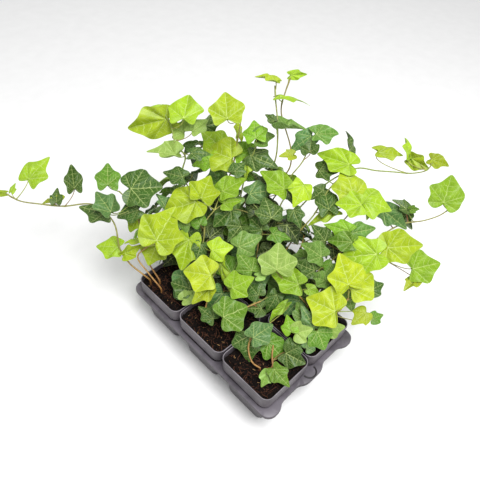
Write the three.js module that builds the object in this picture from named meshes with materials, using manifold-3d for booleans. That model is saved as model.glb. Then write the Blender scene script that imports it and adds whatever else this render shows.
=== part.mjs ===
// Six pots of Irish ivy in their carry tray.
// Millimetres, +Z up. The origin is the middle of the tray's underside, which stands on the ground.
// +X runs across the short side of the tray (two pots), +Y along its long side (three pots).
// The side that is seen first looks towards -X and -Y, and the vines lean away from it.
import * as THREE from 'three';
import Module from 'manifold-3d';
import { mergeVertices } from 'three/addons/utils/BufferGeometryUtils.js';

const wasm = await Module();
wasm.setup();

// Driving dimensions of the holder
const POT_PITCH = 92;            // from pot to pot in the tray
const POT_HALF = 45;             // half the width of a 9 cm pot at its rim
const RIM_HEIGHT = 88;           // pot rims above the ground
const COLLAR_BOTTOM = 61.3;      // lower edge of the tall collar under the rim
const BODY_TOP_HALF = 40;        // half width of the pot's body where it meets the collar
const BODY_BASE_HALF = 32;
const POT_WALL = 1.2;
const RIM_WALL = 1.5;            // the rim is a little thicker than the wall
const FLOOR_WALL = 1.5;
const COLLAR_DRAFT = 0.8;        // the collar narrows by this much on each side towards its lower edge
const POT_BASE = 1.3;            // underside of the pot, just above the floor of its pocket
const RIM_CORNER = 12;           // corner radius of the pots
const BASE_CORNER = 9;
const FLANGE_TOP = 60;           // flat top of the tray
const SHEET = 1.2;               // wall of the formed tray
const TRAY_HALF_X = 97;
const TRAY_HALF_Y = 142;
const POCKET_TOP_HALF = 41.8;    // inside of a pocket at the flange
const POCKET_BASE_HALF = 33.6;   // inside of a pocket at its floor
const SOIL_TOP = 80;
const SOIL_GAP = 0.4;            // soil to pot wall
const SOIL_SLACK = 0.2;          // a little more on the tapered part
const SOIL_WAVE = 1.4;           // how uneven the soil's top is
const CORNER_STEPS = 2;          // facets in a rounded corner

// Driving dimensions of the vines
const ROOT_DEPTH = 26;           // a stem's foot below the soil's top
const HOLE_GAP = 0.5;            // stem to the side of its hole
const STEM_BASE_RADIUS = 1.9;
const STEM_TIP_RADIUS = 1.1;
const STEM_STEP = 36;            // length of one straight facet of a stem
const STALK_RADIUS = 0.85;
const BLADE = 0.8;               // thickness of a leaf blade
const SMALL_LEAF = 27;           // leaves shorter than this get the plainest outline
const LARGE_LEAF = 45;           // and longer ones the fullest
const LEAF_GAP = 3.5;            // between leaves of two vines that lie over each other
const SAME_VINE_GAP = 1.5;
const SETTLE_ROUNDS = 40;
const SETTLE_SHARE = 0.3;        // part of a missing gap that one round opens
const LEAF_MIDDLE = 0.38;        // middle of a blade, in parts of its length from the stalk
const TILT_ROOM = 0.45;          // extra gap for blades held at different tilts
const SHORT_STALK = 14;          // a stalk prefers to be no shorter than this
const STALK_RISE = 8;            // and to start this far below its leaf
const TILT_SPREAD = 12;          // degrees, how unevenly the leaves of one vine are held
const MERGE_FACETS = 0.15;       // facets that differ by less than this are one

const rad = Math.PI / 180;
const vec = (x, y, z) => new THREE.Vector3(x, y, z);

// A seeded draw from 0 to 1 for the thing numbered k at a place, the same on every run
function draw(x, y, z, k) {
  const place = Math.round(x) * 7919 + Math.round(y) * 10473 + Math.round(z) * 12997 + k * 15485;
  let seed = 1 + (Math.abs(place) % 2147483646);
  for (let turn = 0; turn < 3; turn += 1) seed = (seed * 16807) % 2147483647;
  return seed / 2147483647;
}

// Turns a closed triangle mesh into a solid and back
function solid(geometry) {
  const bare = geometry.clone();
  bare.deleteAttribute('normal');
  bare.deleteAttribute('uv');
  const merged = mergeVertices(bare, 1e-5);
  return new wasm.Manifold(new wasm.Mesh({
    numProp: 3,
    vertProperties: new Float32Array(merged.attributes.position.array),
    triVerts: new Uint32Array(merged.index.array),
  }));
}

function geometryOf(manifold) {
  const mesh = manifold.getMesh();
  const geometry = new THREE.BufferGeometry();
  geometry.setAttribute('position', new THREE.BufferAttribute(mesh.vertProperties, 3));
  geometry.setIndex(new THREE.BufferAttribute(mesh.triVerts, 1));
  return geometry;
}

function meshOf(points, triangles) {
  const geometry = new THREE.BufferGeometry();
  geometry.setAttribute('position', new THREE.Float32BufferAttribute(points.flat(), 3));
  geometry.setIndex(triangles);
  return geometry;
}

// A square with rounded corners, counted anticlockwise
function roundedSquare(halfX, halfY, radius, steps) {
  const ring = [];
  const corners = [[1, 1, 0], [-1, 1, 90], [-1, -1, 180], [1, -1, 270]];
  for (const [sx, sy, start] of corners) {
    for (let k = 0; k <= steps; k += 1) {
      const turn = (start + (90 * k) / steps) * rad;
      ring.push([
        sx * (halfX - radius) + radius * Math.cos(turn),
        sy * (halfY - radius) + radius * Math.sin(turn),
      ]);
    }
  }
  return ring;
}

// Stacks rounded squares into a closed skin: each level is [half width, corner radius, height]
function stack(levels, lift = () => 0) {
  const points = [];
  const triangles = [];
  const count = 4 * (CORNER_STEPS + 1);
  levels.forEach(([half, radius, height]) => {
    for (const [x, y] of roundedSquare(half, half, radius, CORNER_STEPS)) {
      points.push([x, y, height + lift(x, y, height)]);
    }
  });
  for (let level = 0; level + 1 < levels.length; level += 1) {
    for (let k = 0; k < count; k += 1) {
      const a = level * count + k;
      const b = level * count + ((k + 1) % count);
      triangles.push(a, b, a + count, b, b + count, a + count);
    }
  }
  const last = (levels.length - 1) * count;
  for (let k = 1; k + 1 < count; k += 1) {
    triangles.push(0, k + 1, k);
    triangles.push(last, last + k, last + k + 1);
  }
  return meshOf(points, triangles);
}

// The pot: a square tapered body under a tall straight collar, open at the top
function potGeometry() {
  const innerFloor = POT_BASE + FLOOR_WALL;
  const ledge = COLLAR_BOTTOM + POT_WALL;
  const bodyCorner = RIM_CORNER - 2;
  const collarHalf = POT_HALF - COLLAR_DRAFT;
  return stack([
    [BODY_BASE_HALF, BASE_CORNER, POT_BASE],
    [BODY_TOP_HALF, bodyCorner, COLLAR_BOTTOM],
    [collarHalf, RIM_CORNER, COLLAR_BOTTOM],
    [POT_HALF, RIM_CORNER, RIM_HEIGHT],
    [POT_HALF - RIM_WALL, RIM_CORNER - RIM_WALL, RIM_HEIGHT],
    [collarHalf - POT_WALL, RIM_CORNER - POT_WALL, ledge],
    [BODY_TOP_HALF - POT_WALL, bodyCorner - POT_WALL, ledge],
    [BODY_BASE_HALF - POT_WALL, BASE_CORNER - POT_WALL, innerFloor],
  ]);
}

// The soil fills its pot a hair inside the wall, with an uneven top
function soilGeometry() {
  const floor = POT_BASE + FLOOR_WALL + SOIL_GAP;
  const ledge = COLLAR_BOTTOM + POT_WALL + SOIL_GAP;
  const inside = POT_WALL + SOIL_GAP;
  const collarHalf = POT_HALF - COLLAR_DRAFT;
  const unevenTop = (x, y, z) => (z === SOIL_TOP ? SOIL_WAVE * Math.sin(x * 0.09 + y * 0.05) : 0);
  return stack([
    [BODY_BASE_HALF - inside - SOIL_SLACK, BASE_CORNER - inside, floor],
    [BODY_TOP_HALF - inside - SOIL_SLACK, RIM_CORNER - 2 - inside, ledge],
    [collarHalf - inside, RIM_CORNER - inside, ledge],
    [collarHalf - inside, RIM_CORNER - inside, SOIL_TOP],
  ], unevenTop);
}

function slab(halfX, halfY, radius, bottom, height) {
  const outline = roundedSquare(halfX, halfY, radius, CORNER_STEPS);
  const shape = new THREE.Shape(outline.map(([x, y]) => new THREE.Vector2(x, y)));
  const geometry = new THREE.ExtrudeGeometry(shape, { depth: height, bevelEnabled: false });
  return geometry.translate(0, 0, bottom);
}

// The tray: one thin formed sheet with a flat flange and six tapered pockets
function trayGeometry() {
  const sheetBottom = FLANGE_TOP - SHEET;
  let tray = solid(slab(TRAY_HALF_X, TRAY_HALF_Y, 12, sheetBottom, SHEET));
  // three rounded lobes stand out of each short side: [half width, half depth, corner, place across]
  const lobeReach = 6;
  const lobePlace = TRAY_HALF_X - 17;
  const lobes = [[22, 11, 9, 0], [13, 9, 7, lobePlace], [13, 9, 7, -lobePlace]];
  for (const side of [-1, 1]) {
    const edge = side * (TRAY_HALF_Y + lobeReach);
    for (const [halfX, halfY, corner, across] of lobes) {
      const lobe = slab(halfX, halfY, corner, sheetBottom, SHEET);
      tray = tray.add(solid(lobe.translate(across, edge - side * halfY, 0)));
    }
  }
  const outerPocket = stack([
    [POCKET_BASE_HALF + SHEET, BASE_CORNER + 2, 0],
    [POCKET_TOP_HALF + SHEET, RIM_CORNER, FLANGE_TOP - SHEET / 2],
  ]);
  const innerPocket = stack([
    [POCKET_BASE_HALF, BASE_CORNER + 1, POT_BASE - 0.3],
    [POCKET_TOP_HALF + 0.1, RIM_CORNER - 1, FLANGE_TOP + 0.5],
  ]);
  for (const { x, y } of pots) tray = tray.add(solid(outerPocket.clone().translate(x, y, 0)));
  const ribHalfX = 2.6;           // upright rib between the two middle pockets
  const ribHalfY = 14;
  tray = tray.add(solid(slab(ribHalfX, ribHalfY, 2, 0, sheetBottom + SHEET / 2)));
  for (const { x, y } of pots) tray = tray.subtract(solid(innerPocket.clone().translate(x, y, 0)));
  return geometryOf(tray);
}

// Pots are named by row along the long side and by column across it
const pots = [];
const looseFit = { 'left middle': [1.1, 0.2], 'right front': [-0.5, 0.7], 'right middle': [0.3, 0] };
['left', 'right'].forEach((column, i) => {
  ['front', 'middle', 'back'].forEach((row, j) => {
    const [dx, dy] = looseFit[`${column} ${row}`] ?? [0, 0];
    pots.push({
      name: `${column}_${row}`,
      x: (i - 0.5) * POT_PITCH,
      y: (j - 1) * POT_PITCH,
      shift: [dx, dy],
    });
  });
});

// The vines. Each has the place of its foot in the soil, the points that its stem passes through,
// the way its leaves face (compass heading and lean from upright, in degrees) and its leaves:
// [x, y, z of the stalk's end, length, width, heading of the tip, roll, nod].
const SEEN = [220, 32];
const vines = [
  { foot: [-78, 122], face: [215, 30],
    stem: [[-92, 152, 110], [-97, 165, 135], [-88, 188, 168], [-98, 217, 188], [-130, 255, 178],
      [-152, 280, 178], [-171, 302, 180], [-180, 324, 184]],
    leaves: [[-138, 337, 182, 44, 38, 10], [-173, 320, 187, 14, 9, 30], [-180, 326, 184, 18, 10, 132],
      [-134, 262, 184, 22, 18, 50], [-127, 267, 178, 28, 20, 138, 60], [-100, 268, 188, 38, 26, 62, 20],
      [-98, 170, 136, 32, 36, 128], [-95, 158, 130, 28, 20, 338, 30]] },
  { foot: [-68, 112], face: [215, 30],
    stem: [[-64, 150, 105], [-56, 170, 160], [-56, 184, 188], [-62, 205, 202]],
    leaves: [[-74, 212, 217, 40, 38, 55, 20], [-49, 194, 206, 46, 62, 322], [-92, 183, 196, 40, 34, 88],
      [-55, 172, 184, 36, 32, 148], [-52, 176, 168, 30, 28, 190, 0, 15],
      [-96, 190, 190, 44, 34, 120]] },
  { foot: [-76, 98], face: [220, 34],
    stem: [[-80, 122, 105], [-82, 144, 125], [-66, 138, 142]],
    leaves: [[-73, 152, 147, 22, 16, 136, 50], [-62, 120, 165, 52, 62, 15],
      [-55, 132, 140, 30, 38, 200, 0, 20]] },
  { foot: [15, 120], face: SEEN,
    stem: [[10, 140, 150], [18, 158, 225], [28, 162, 248], [20, 172, 264], [30, 198, 286], [29, 220, 299]],
    leaves: [[38, 176, 300, 38, 46, 40], [36, 222, 300, 24, 18, 140, 45], [30, 206, 286, 54, 44, 152, -38],
      [12, 164, 256, 42, 34, 128, 25], [6, 142, 233, 32, 28, 122], [42, 182, 272, 22, 34, 112],
      [46, 166, 281, 30, 28, 2, -10], [26, 146, 262, 28, 24, 322]] },
  { foot: [-34, 82], face: SEEN,
    stem: [[-38, 94, 115], [-32, 104, 146], [-22, 106, 166]],
    leaves: [[-24, 94, 162, 46, 42, 213], [-14, 104, 178, 28, 30, 92], [-22, 148, 188, 26, 24, 82, 30]] },
  { foot: [-58, 66], face: [225, 28],
    stem: [[-60, 62, 92], [-56, 58, 104]],
    leaves: [[-54, 56, 108, 32, 38, 120], [-70, 52, 100, 22, 22, 350], [-38, 66, 116, 26, 26, 350]] },
  { foot: [-64, 14], face: SEEN,
    stem: [[-66, 13, 94], [-50, 22, 116], [-32, 34, 142]],
    leaves: [[-37, 32, 148, 38, 48, 128], [-45, 26, 130, 32, 28, 174], [-62, -3, 104, 28, 26, 100],
      [-12, 38, 148, 44, 24, 238, 55]] },
  { foot: [-26, 60], face: SEEN,
    stem: [[-20, 72, 130], [-4, 83, 165], [6, 91, 182], [22, 90, 196]],
    leaves: [[6, 114, 205, 48, 50, 148], [14, 110, 210, 34, 42, 25], [-16, 52, 168, 28, 34, 324],
      [42, 96, 217, 38, 34, 340], [36, 86, 203, 26, 24, 325],
      [-16, 76, 160, 26, 24, 210], [-4, 92, 182, 24, 24, 80]] },
  { foot: [44, 118], face: SEEN,
    stem: [[60, 122, 170], [82, 118, 225], [100, 128, 262], [110, 134, 290]],
    leaves: [[85, 146, 246, 44, 42, 98], [82, 121, 242, 42, 54, 112], [60, 144, 234, 28, 28, 148],
      [94, 122, 240, 38, 36, 352], [76, 128, 308, 36, 46, 54], [108, 135, 262, 28, 18, 42, 50],
      [92, 190, 258, 30, 26, 330, 30]] },
  { foot: [-20, 26], face: SEEN,
    stem: [[-10, 16, 105], [8, 6, 138], [20, 30, 158]],
    leaves: [[-24, 0, 139, 34, 40, 338], [10, -3, 152, 34, 34, 88], [17, 32, 168, 38, 40, 338],
      [14, -12, 145, 20, 16, 330]] },
  { foot: [-36, -18], face: SEEN,
    stem: [[-38, -16, 98], [-26, -24, 114], [0, -34, 120]],
    leaves: [[-57, -18, 119, 38, 52, 338], [2, -27, 126, 24, 28, 92], [-3, -40, 112, 24, 26, 136],
      [22, -44, 126, 30, 26, 196]] },
  { foot: [-60, -96], face: SEEN,
    stem: [[-63, -84, 88], [-56, -68, 96], [-44, -60, 104]],
    leaves: [[-44, -57, 104, 36, 50, 224], [-46, -66, 112, 34, 34, 346], [16, -66, 131, 34, 14, 170, 35]] },
  { foot: [-54, -103], face: SEEN,
    stem: [[-49, -107, 88], [-38, -96, 94], [-28, -88, 99]],
    leaves: [[-30, -80, 100, 34, 40, 277], [-24, -108, 99, 30, 32, 291], [-14, -108, 96, 26, 28, 358],
      [-55, -114, 102, 30, 26, 272], [-62, -110, 94, 20, 20, 200]] },
  { foot: [18, -104], face: SEEN,
    stem: [[14, -100, 92], [14, -104, 102]],
    leaves: [[4, -100, 110, 24, 30, 328], [0, -94, 112, 24, 26, 66], [4, -122, 98, 18, 20, 346]] },
  { foot: [32, -112], face: SEEN,
    stem: [[33, -112, 92], [34, -114, 104]],
    leaves: [[29, -111, 112, 34, 30, 80], [28, -118, 109, 28, 42, 258], [42, -122, 106, 28, 28, 322]] },
  { foot: [56, -108], face: SEEN,
    stem: [[60, -112, 100], [74, -120, 120], [88, -120, 136]],
    leaves: [[56, -121, 135, 40, 54, 113], [92, -112, 155, 42, 48, 66], [94, -118, 149, 40, 50, 346],
      [119, -134, 141, 24, 28, 338], [94, -149, 125, 26, 28, 170], [98, -160, 118, 20, 20, 335]] },
  { foot: [48, -82], face: SEEN,
    stem: [[54, -80, 104], [46, -66, 124], [38, -50, 142]],
    leaves: [[44, -62, 148, 42, 38, 116], [34, -28, 158, 38, 54, 42], [52, -74, 142, 20, 18, 300]] },
  { foot: [66, -64], face: SEEN,
    stem: [[70, -68, 110], [78, -70, 138], [94, -58, 156]],
    leaves: [[81, -84, 144, 27, 24, 114], [78, -62, 152, 32, 32, 118], [95, -58, 166, 34, 34, 107],
      [102, -74, 158, 22, 24, 186]] },
  { foot: [34, 16], face: SEEN,
    stem: [[46, 20, 130], [62, 34, 162], [78, 44, 186]],
    leaves: [[75, 26, 194, 34, 44, 64], [78, 74, 206, 42, 36, 326], [46, 80, 188, 36, 38, 175],
      [44, 56, 174, 30, 32, 184], [64, 32, 172, 28, 30, 92]] },
  { foot: [60, 22], face: SEEN,
    stem: [[84, 26, 140], [104, 36, 190], [122, 36, 214]],
    leaves: [[111, 38, 221, 44, 38, 104], [134, 22, 226, 32, 36, 202], [110, 14, 196, 28, 28, 250]] },
  { foot: [76, 112], face: [215, 26],
    stem: [[104, 96, 180], [122, 72, 242], [128, 80, 300], [146, 104, 322], [155, 116, 336]],
    leaves: [[156, 116, 342, 28, 26, 118, 35], [126, 86, 305, 16, 14, 98], [124, 76, 300, 40, 34, 315, -48]] },
  { foot: [78, 97], face: [215, 26],
    stem: [[112, 80, 180], [134, 52, 238], [144, 62, 262], [154, 98, 306], [168, 106, 326], [179, 109, 343]],
    leaves: [[181, 110, 346, 22, 14, 317, 45], [152, 102, 326, 40, 32, 317, -35], [134, 50, 264, 20, 18, 140]] },
  { foot: [74, 62], face: SEEN,
    stem: [[100, 58, 170], [132, 46, 228], [152, 42, 252], [170, 50, 270]],
    leaves: [[176, 54, 277, 38, 34, 168], [180, 48, 281, 36, 32, 323], [160, 39, 263, 22, 28, 38, -30]] },
  { foot: [78, 8], face: SEEN,
    stem: [[110, 2, 150], [136, -6, 186], [166, -2, 214], [196, -6, 236]],
    leaves: [[146, -22, 202, 42, 36, 57], [164, 4, 212, 26, 24, 168], [155, -29, 196, 44, 22, 146, 40],
      [172, 24, 232, 30, 32, 316], [200, -6, 249, 46, 36, 116], [222, 10, 254, 32, 30, 57, 55]] },
  { foot: [78, -22], face: SEEN,
    stem: [[112, -34, 140], [150, -44, 184], [172, -48, 208]],
    leaves: [[177, -40, 222, 46, 52, 64], [184, -52, 219, 44, 48, 306], [174, -56, 218, 34, 36, 132],
      [190, -64, 210, 18, 18, 211]] },
  { foot: [76, 30], face: [222, 34],
    stem: [[122, 26, 160], [172, 12, 210], [222, -8, 231], [250, -28, 225], [280, -44, 217], [312, -60, 208],
      [345, -70, 204], [370, -66, 205]],
    leaves: [[307, 2, 216, 40, 32, 319, -25], [340, -36, 213, 34, 26, 43, 45], [342, -40, 211, 30, 26, 289, 40],
      [374, -61, 206, 30, 26, 296]] },
  { foot: [78, -68], face: [222, 34],
    stem: [[120, -72, 118], [180, -82, 145], [246, -98, 164], [272, -120, 172], [294, -132, 178],
      [311, -136, 182]],
    leaves: [[258, -92, 185, 26, 24, 106, 20], [262, -96, 184, 16, 12, 320], [310, -125, 191, 46, 56, 26],
      [326, -133, 186, 18, 14, 335], [237, -66, 176, 46, 36, 282], [270, -88, 169, 30, 24, 250, 45]] },
  { foot: [74, -86], face: SEEN,
    stem: [[104, -92, 122], [138, -104, 150], [164, -120, 162]],
    leaves: [[149, -112, 177, 48, 50, 141], [168, -118, 182, 46, 46, 319], [176, -160, 167, 40, 48, 325],
      [171, -172, 158, 26, 20, 175, 30]] },
  { foot: [72, -31], face: SEEN,
    stem: [[104, -58, 130], [130, -68, 158], [142, -70, 172]],
    leaves: [[137, -77, 182, 35, 30, 130], [158, -72, 187, 24, 22, 156], [145, -64, 188, 37, 30, 122],
      [147, -68, 187, 38, 32, 326], [118, -45, 175, 30, 32, 90]] },
  { foot: [58, 84], face: SEEN,
    stem: [[74, 92, 160], [92, 98, 226], [108, 98, 264]],
    leaves: [[104, 97, 281, 32, 38, 56], [110, 99, 276, 26, 30, 326], [100, 100, 251, 44, 36, 295],
      [96, 102, 241, 28, 20, 214, 30], [66, 97, 240, 24, 26, 4]] },
  // Vines on the sides away from the viewer, which hang over the tray's edge
  { foot: [66, 122], face: [45, 38], grow: 6, stem: [[88, 162, 176], [104, 196, 200], [118, 216, 168]] },
  { foot: [28, 104], face: [90, 40], grow: 6, stem: [[36, 150, 150], [48, 184, 170], [54, 208, 130]] },
  { foot: [-22, 118], face: [100, 40], grow: 6, stem: [[-12, 152, 120], [-8, 178, 134], [-14, 198, 98]] },
  { foot: [77, 79], face: [10, 40], grow: 7, stem: [[130, 92, 156], [168, 102, 170], [192, 104, 122]] },
  { foot: [80, -8], face: [0, 42], grow: 6, stem: [[112, -8, 106], [142, 6, 128], [168, 24, 88]] },
];

// A stem passes smoothly through its points, upright where it leaves the soil
function stemCurve(vine) {
  const [x, y] = vine.foot;
  const points = [vec(x, y, SOIL_TOP + 2), vec(x, y, SOIL_TOP + 6), ...vine.stem.map((p) => vec(...p))];
  return new THREE.CatmullRomCurve3(points, false, 'centripetal');
}

// The middle of each facet ring of a stem: its foot, the soil's top, then even steps
function stemRings(vine) {
  const curve = stemCurve(vine);
  const steps = Math.max(4, Math.round(curve.getLength() / STEM_STEP));
  return [vec(vine.foot[0], vine.foot[1], SOIL_TOP - ROOT_DEPTH), ...curve.getSpacedPoints(steps)];
}

// Leaves of the far vines stand left and right of the stem in turn, smaller towards its tip
function growLeaves(vine) {
  const curve = stemCurve(vine);
  const leaves = [];
  for (let k = 0; k < vine.grow; k += 1) {
    const along = 0.5 + (0.5 * k) / (vine.grow - 1);
    const at = curve.getPoint(along);
    const side = k % 2 ? 1 : -1;
    const chance = (n) => draw(vine.foot[0], vine.foot[1], k, n);
    const heading = vine.face[0] + side * (35 + 35 * chance(1));
    const reach = 16 + 10 * chance(2);
    const size = 44 - 16 * (k / vine.grow) + 6 * chance(3);
    leaves.push([
      at.x + reach * Math.cos(heading * rad),
      at.y + reach * Math.sin(heading * rad),
      at.z + 10 + 4 * chance(4),
      size,
      size * 1.1,
      heading - side * 20,
      0,
      10,
    ]);
  }
  return leaves;
}

// The frame of a leaf: its axis towards the tip, its left side and its upper face
function leafFrame(vine, row) {
  const [x, y, z, length, width, heading, roll = 0, nod = 0] = row;
  const [faceHeading, lean] = vine.face;
  const normal = vec(
    Math.sin(lean * rad) * Math.cos(faceHeading * rad),
    Math.sin(lean * rad) * Math.sin(faceHeading * rad),
    Math.cos(lean * rad),
  );
  const axis = vec(Math.cos(heading * rad), Math.sin(heading * rad), 0);
  axis.z = -(axis.x * normal.x + axis.y * normal.y) / normal.z;
  axis.normalize();
  const rollBy = roll + TILT_SPREAD * (2 * draw(x, y, z, 1) - 1);
  const nodBy = nod + TILT_SPREAD * (2 * draw(x, y, z, 2) - 1);
  normal.applyAxisAngle(axis, rollBy * rad);
  const side = normal.clone().cross(axis).normalize();
  axis.applyAxisAngle(side, nodBy * rad);
  normal.applyAxisAngle(side, nodBy * rad);
  return { base: vec(x, y, z), length, width, axis, side, normal };
}

// Leaves that would cross move apart along the way they face
function settle(all) {
  const middle = (leaf) => leaf.base.clone().addScaledVector(leaf.axis, LEAF_MIDDLE * leaf.length);
  for (let round = 0; round < SETTLE_ROUNDS; round += 1) {
    for (let i = 0; i < all.length; i += 1) {
      for (let j = i + 1; j < all.length; j += 1) {
        const a = all[i];
        const b = all[j];
        const radiusA = 0.5 * Math.max(a.width, a.length);
        const radiusB = 0.5 * Math.max(b.width, b.length);
        const between = middle(b).sub(middle(a));
        if (between.length() > radiusA + radiusB) continue;
        const up = a.normal.clone().add(b.normal).normalize();
        const height = between.dot(up);
        const apart = Math.sqrt(Math.max(0, between.lengthSq() - height * height));
        const overlap = Math.min(1, (radiusA + radiusB - apart) / Math.min(radiusA, radiusB));
        const tilt = Math.sqrt(Math.max(0, 1 - a.normal.dot(b.normal) ** 2));
        const gap = a.vine === b.vine ? SAME_VINE_GAP : LEAF_GAP;
        const need = overlap * (gap + TILT_ROOM * tilt * Math.min(radiusA, radiusB));
        const short = need - Math.abs(height);
        if (short <= 0) continue;
        const push = SETTLE_SHARE * short * (height < 0 ? -1 : 1);
        a.base.addScaledVector(up, -push);
        b.base.addScaledVector(up, push);
      }
    }
  }
}

// Half of an ivy leaf's outline from the tip to the notch where the stalk joins:
// [along the axis, to the side, lift], in parts of the leaf's length and width
const FULL_LEAF = [
  [1, 0, -0.1], [0.59, 0.27, 0.02], [0.46, 0.5, -0.06], [0.13, 0.4, 0.03], [-0.12, 0.43, -0.04],
  [-0.27, 0.2, -0.03], [-0.07, 0, 0],
];
const MIDDLE_LEAF = [
  [1, 0, -0.1], [0.57, 0.26, 0.02], [0.44, 0.5, -0.06], [0.1, 0.39, 0.03], [-0.22, 0.34, -0.04], [-0.06, 0, 0],
];
const SMALL_OUTLINE = [[1, 0, -0.08], [0.52, 0.28, 0.02], [0.36, 0.5, -0.04], [-0.22, 0.33, -0.02], [-0.06, 0, 0]];

// One leaf with its stalk as a closed skin: both faces of the blade are split alike,
// and the stalk grows out of three points of the lower face
function leafSolid(leaf, stalkPath) {
  const lobed = leaf.length < LARGE_LEAF ? MIDDLE_LEAF : FULL_LEAF;
  const half = leaf.length < SMALL_LEAF ? SMALL_OUTLINE : lobed;
  const left = half.slice(1, -1).reverse().map(([u, v, w]) => [u, -v, w]);
  const outline = [...half, ...left];
  const count = outline.length;
  const place = (u, v, w) => leaf.base.clone()
    .addScaledVector(leaf.axis, u)
    .addScaledVector(leaf.side, v)
    .addScaledVector(leaf.normal, w);
  const points = [];
  for (const drop of [0, -BLADE]) {
    for (const [u, v, w] of outline) {
      points.push(place(u * leaf.length, v * leaf.width, w * leaf.length + drop).toArray());
    }
  }
  const hub = points.push(leaf.base.toArray()) - 1;
  const triangles = [];
  for (let k = 0; k < count; k += 1) {
    const next = (k + 1) % count;
    triangles.push(hub, k, next);
    triangles.push(k, k + count, next, next, k + count, next + count);
  }
  // rings of the stalk, three points each, from the blade to the stem
  const rings = stalkPath.map((centre, step) => {
    const ahead = stalkPath[Math.min(step + 1, stalkPath.length - 1)];
    const behind = stalkPath[Math.max(step - 1, 0)];
    const along = step === 0 ? leaf.normal.clone().negate() : ahead.clone().sub(behind).normalize();
    const across = leaf.axis.clone().addScaledVector(along, -leaf.axis.dot(along)).normalize();
    const third = along.clone().cross(across);
    return [0, 120, 240].map((turn) => points.push(centre.clone()
      .addScaledVector(across, STALK_RADIUS * Math.cos(turn * rad))
      .addScaledVector(third, STALK_RADIUS * Math.sin(turn * rad))
      .toArray()) - 1);
  });
  // lower face: each outline edge looks to the ring point nearest to it in angle
  const angleOf = (index) => {
    const [u, v] = outline[index];
    return Math.atan2(-v * leaf.width, u * leaf.length);
  };
  const nearest = (index) => {
    const turn = (angleOf(index) / rad + 360) % 360;
    return Math.round(turn / 120) % 3;
  };
  for (let k = 0; k < count; k += 1) {
    const next = (k + 1) % count;
    const from = nearest(k);
    const to = nearest(next);
    triangles.push(rings[0][from], next + count, k + count);
    if (from !== to) triangles.push(rings[0][from], rings[0][to], next + count);
  }
  for (let step = 0; step + 1 < rings.length; step += 1) {
    for (let k = 0; k < 3; k += 1) {
      const a = rings[step][k];
      const b = rings[step][(k + 1) % 3];
      const c = rings[step + 1][k];
      const d = rings[step + 1][(k + 1) % 3];
      triangles.push(a, b, c, b, d, c);
    }
  }
  const last = rings[rings.length - 1];
  triangles.push(last[0], last[1], last[2]);
  return solid(meshOf(points, triangles));
}

// The stalk joins the stem a little below the leaf, where the way is short
function stalkPath(leaf, samples) {
  let best = null;
  let bestCost = Infinity;
  for (const point of samples) {
    const distance = point.distanceTo(leaf.base);
    const above = Math.max(0, point.z - leaf.base.z + STALK_RISE);
    const tooShort = Math.max(0, SHORT_STALK - distance);
    const cost = distance + 1.5 * above + 2 * tooShort;
    if (cost < bestCost) {
      bestCost = cost;
      best = point;
    }
  }
  const start = leaf.base.clone().addScaledVector(leaf.normal, -BLADE);
  const span = best.distanceTo(start);
  const leave = leaf.normal.clone().multiplyScalar(-0.8).addScaledVector(leaf.axis, -0.6).normalize();
  const bend = new THREE.QuadraticBezierCurve3(
    start,
    start.clone().addScaledVector(leave, 0.4 * span),
    best,
  );
  return [start, bend.getPoint(0.4), bend.getPoint(1)];
}

// A tapered four-sided tube through the rings' middles, closed at both ends
function stemSolid(rings) {
  const steps = rings.length - 1;
  const across = vec(1, 0, 0);
  const points = [];
  const triangles = [];
  for (let step = 0; step <= steps; step += 1) {
    const t = step / steps;
    const centre = rings[step];
    const ahead = rings[Math.min(step + 1, steps)];
    const behind = rings[Math.max(step - 1, 0)];
    const along = step < 2 ? vec(0, 0, 1) : ahead.clone().sub(behind).normalize();
    across.addScaledVector(along, -across.dot(along)).normalize();
    const third = along.clone().cross(across);
    const radius = STEM_BASE_RADIUS + (STEM_TIP_RADIUS - STEM_BASE_RADIUS) * t;
    for (const turn of [45, 135, 225, 315]) {
      points.push(centre.clone()
        .addScaledVector(across, radius * Math.cos(turn * rad))
        .addScaledVector(third, radius * Math.sin(turn * rad))
        .toArray());
    }
  }
  for (let step = 0; step < steps; step += 1) {
    for (let k = 0; k < 4; k += 1) {
      const a = step * 4 + k;
      const b = step * 4 + ((k + 1) % 4);
      triangles.push(a, b, a + 4, b, b + 4, a + 4);
    }
  }
  const end = steps * 4;
  triangles.push(0, 2, 1, 0, 3, 2);
  triangles.push(end, end + 1, end + 2, end, end + 2, end + 3);
  return solid(meshOf(points, triangles));
}

// Materials
const plastic = (colour, roughness) => new THREE.MeshStandardMaterial({ color: colour, roughness });
const leafGreens = ['#5f9a34', '#8fbf2a', '#4a7f36', '#a9cf20', '#3f6b33'];

const ivy = new THREE.Group();
ivy.name = 'potted_ivy';
function addNode(name, geometry, material, x = 0, y = 0) {
  const mesh = new THREE.Mesh(geometry, material);
  mesh.name = name;
  mesh.position.set(x, y, 0);
  ivy.add(mesh);
}

addNode('carry_tray', trayGeometry(), plastic('#6b666d', 0.5));
for (const { name, x, y, shift } of pots) {
  addNode(`pot_${name}`, potGeometry(), plastic('#6f6a72', 0.55), x + shift[0], y + shift[1]);
}

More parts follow.
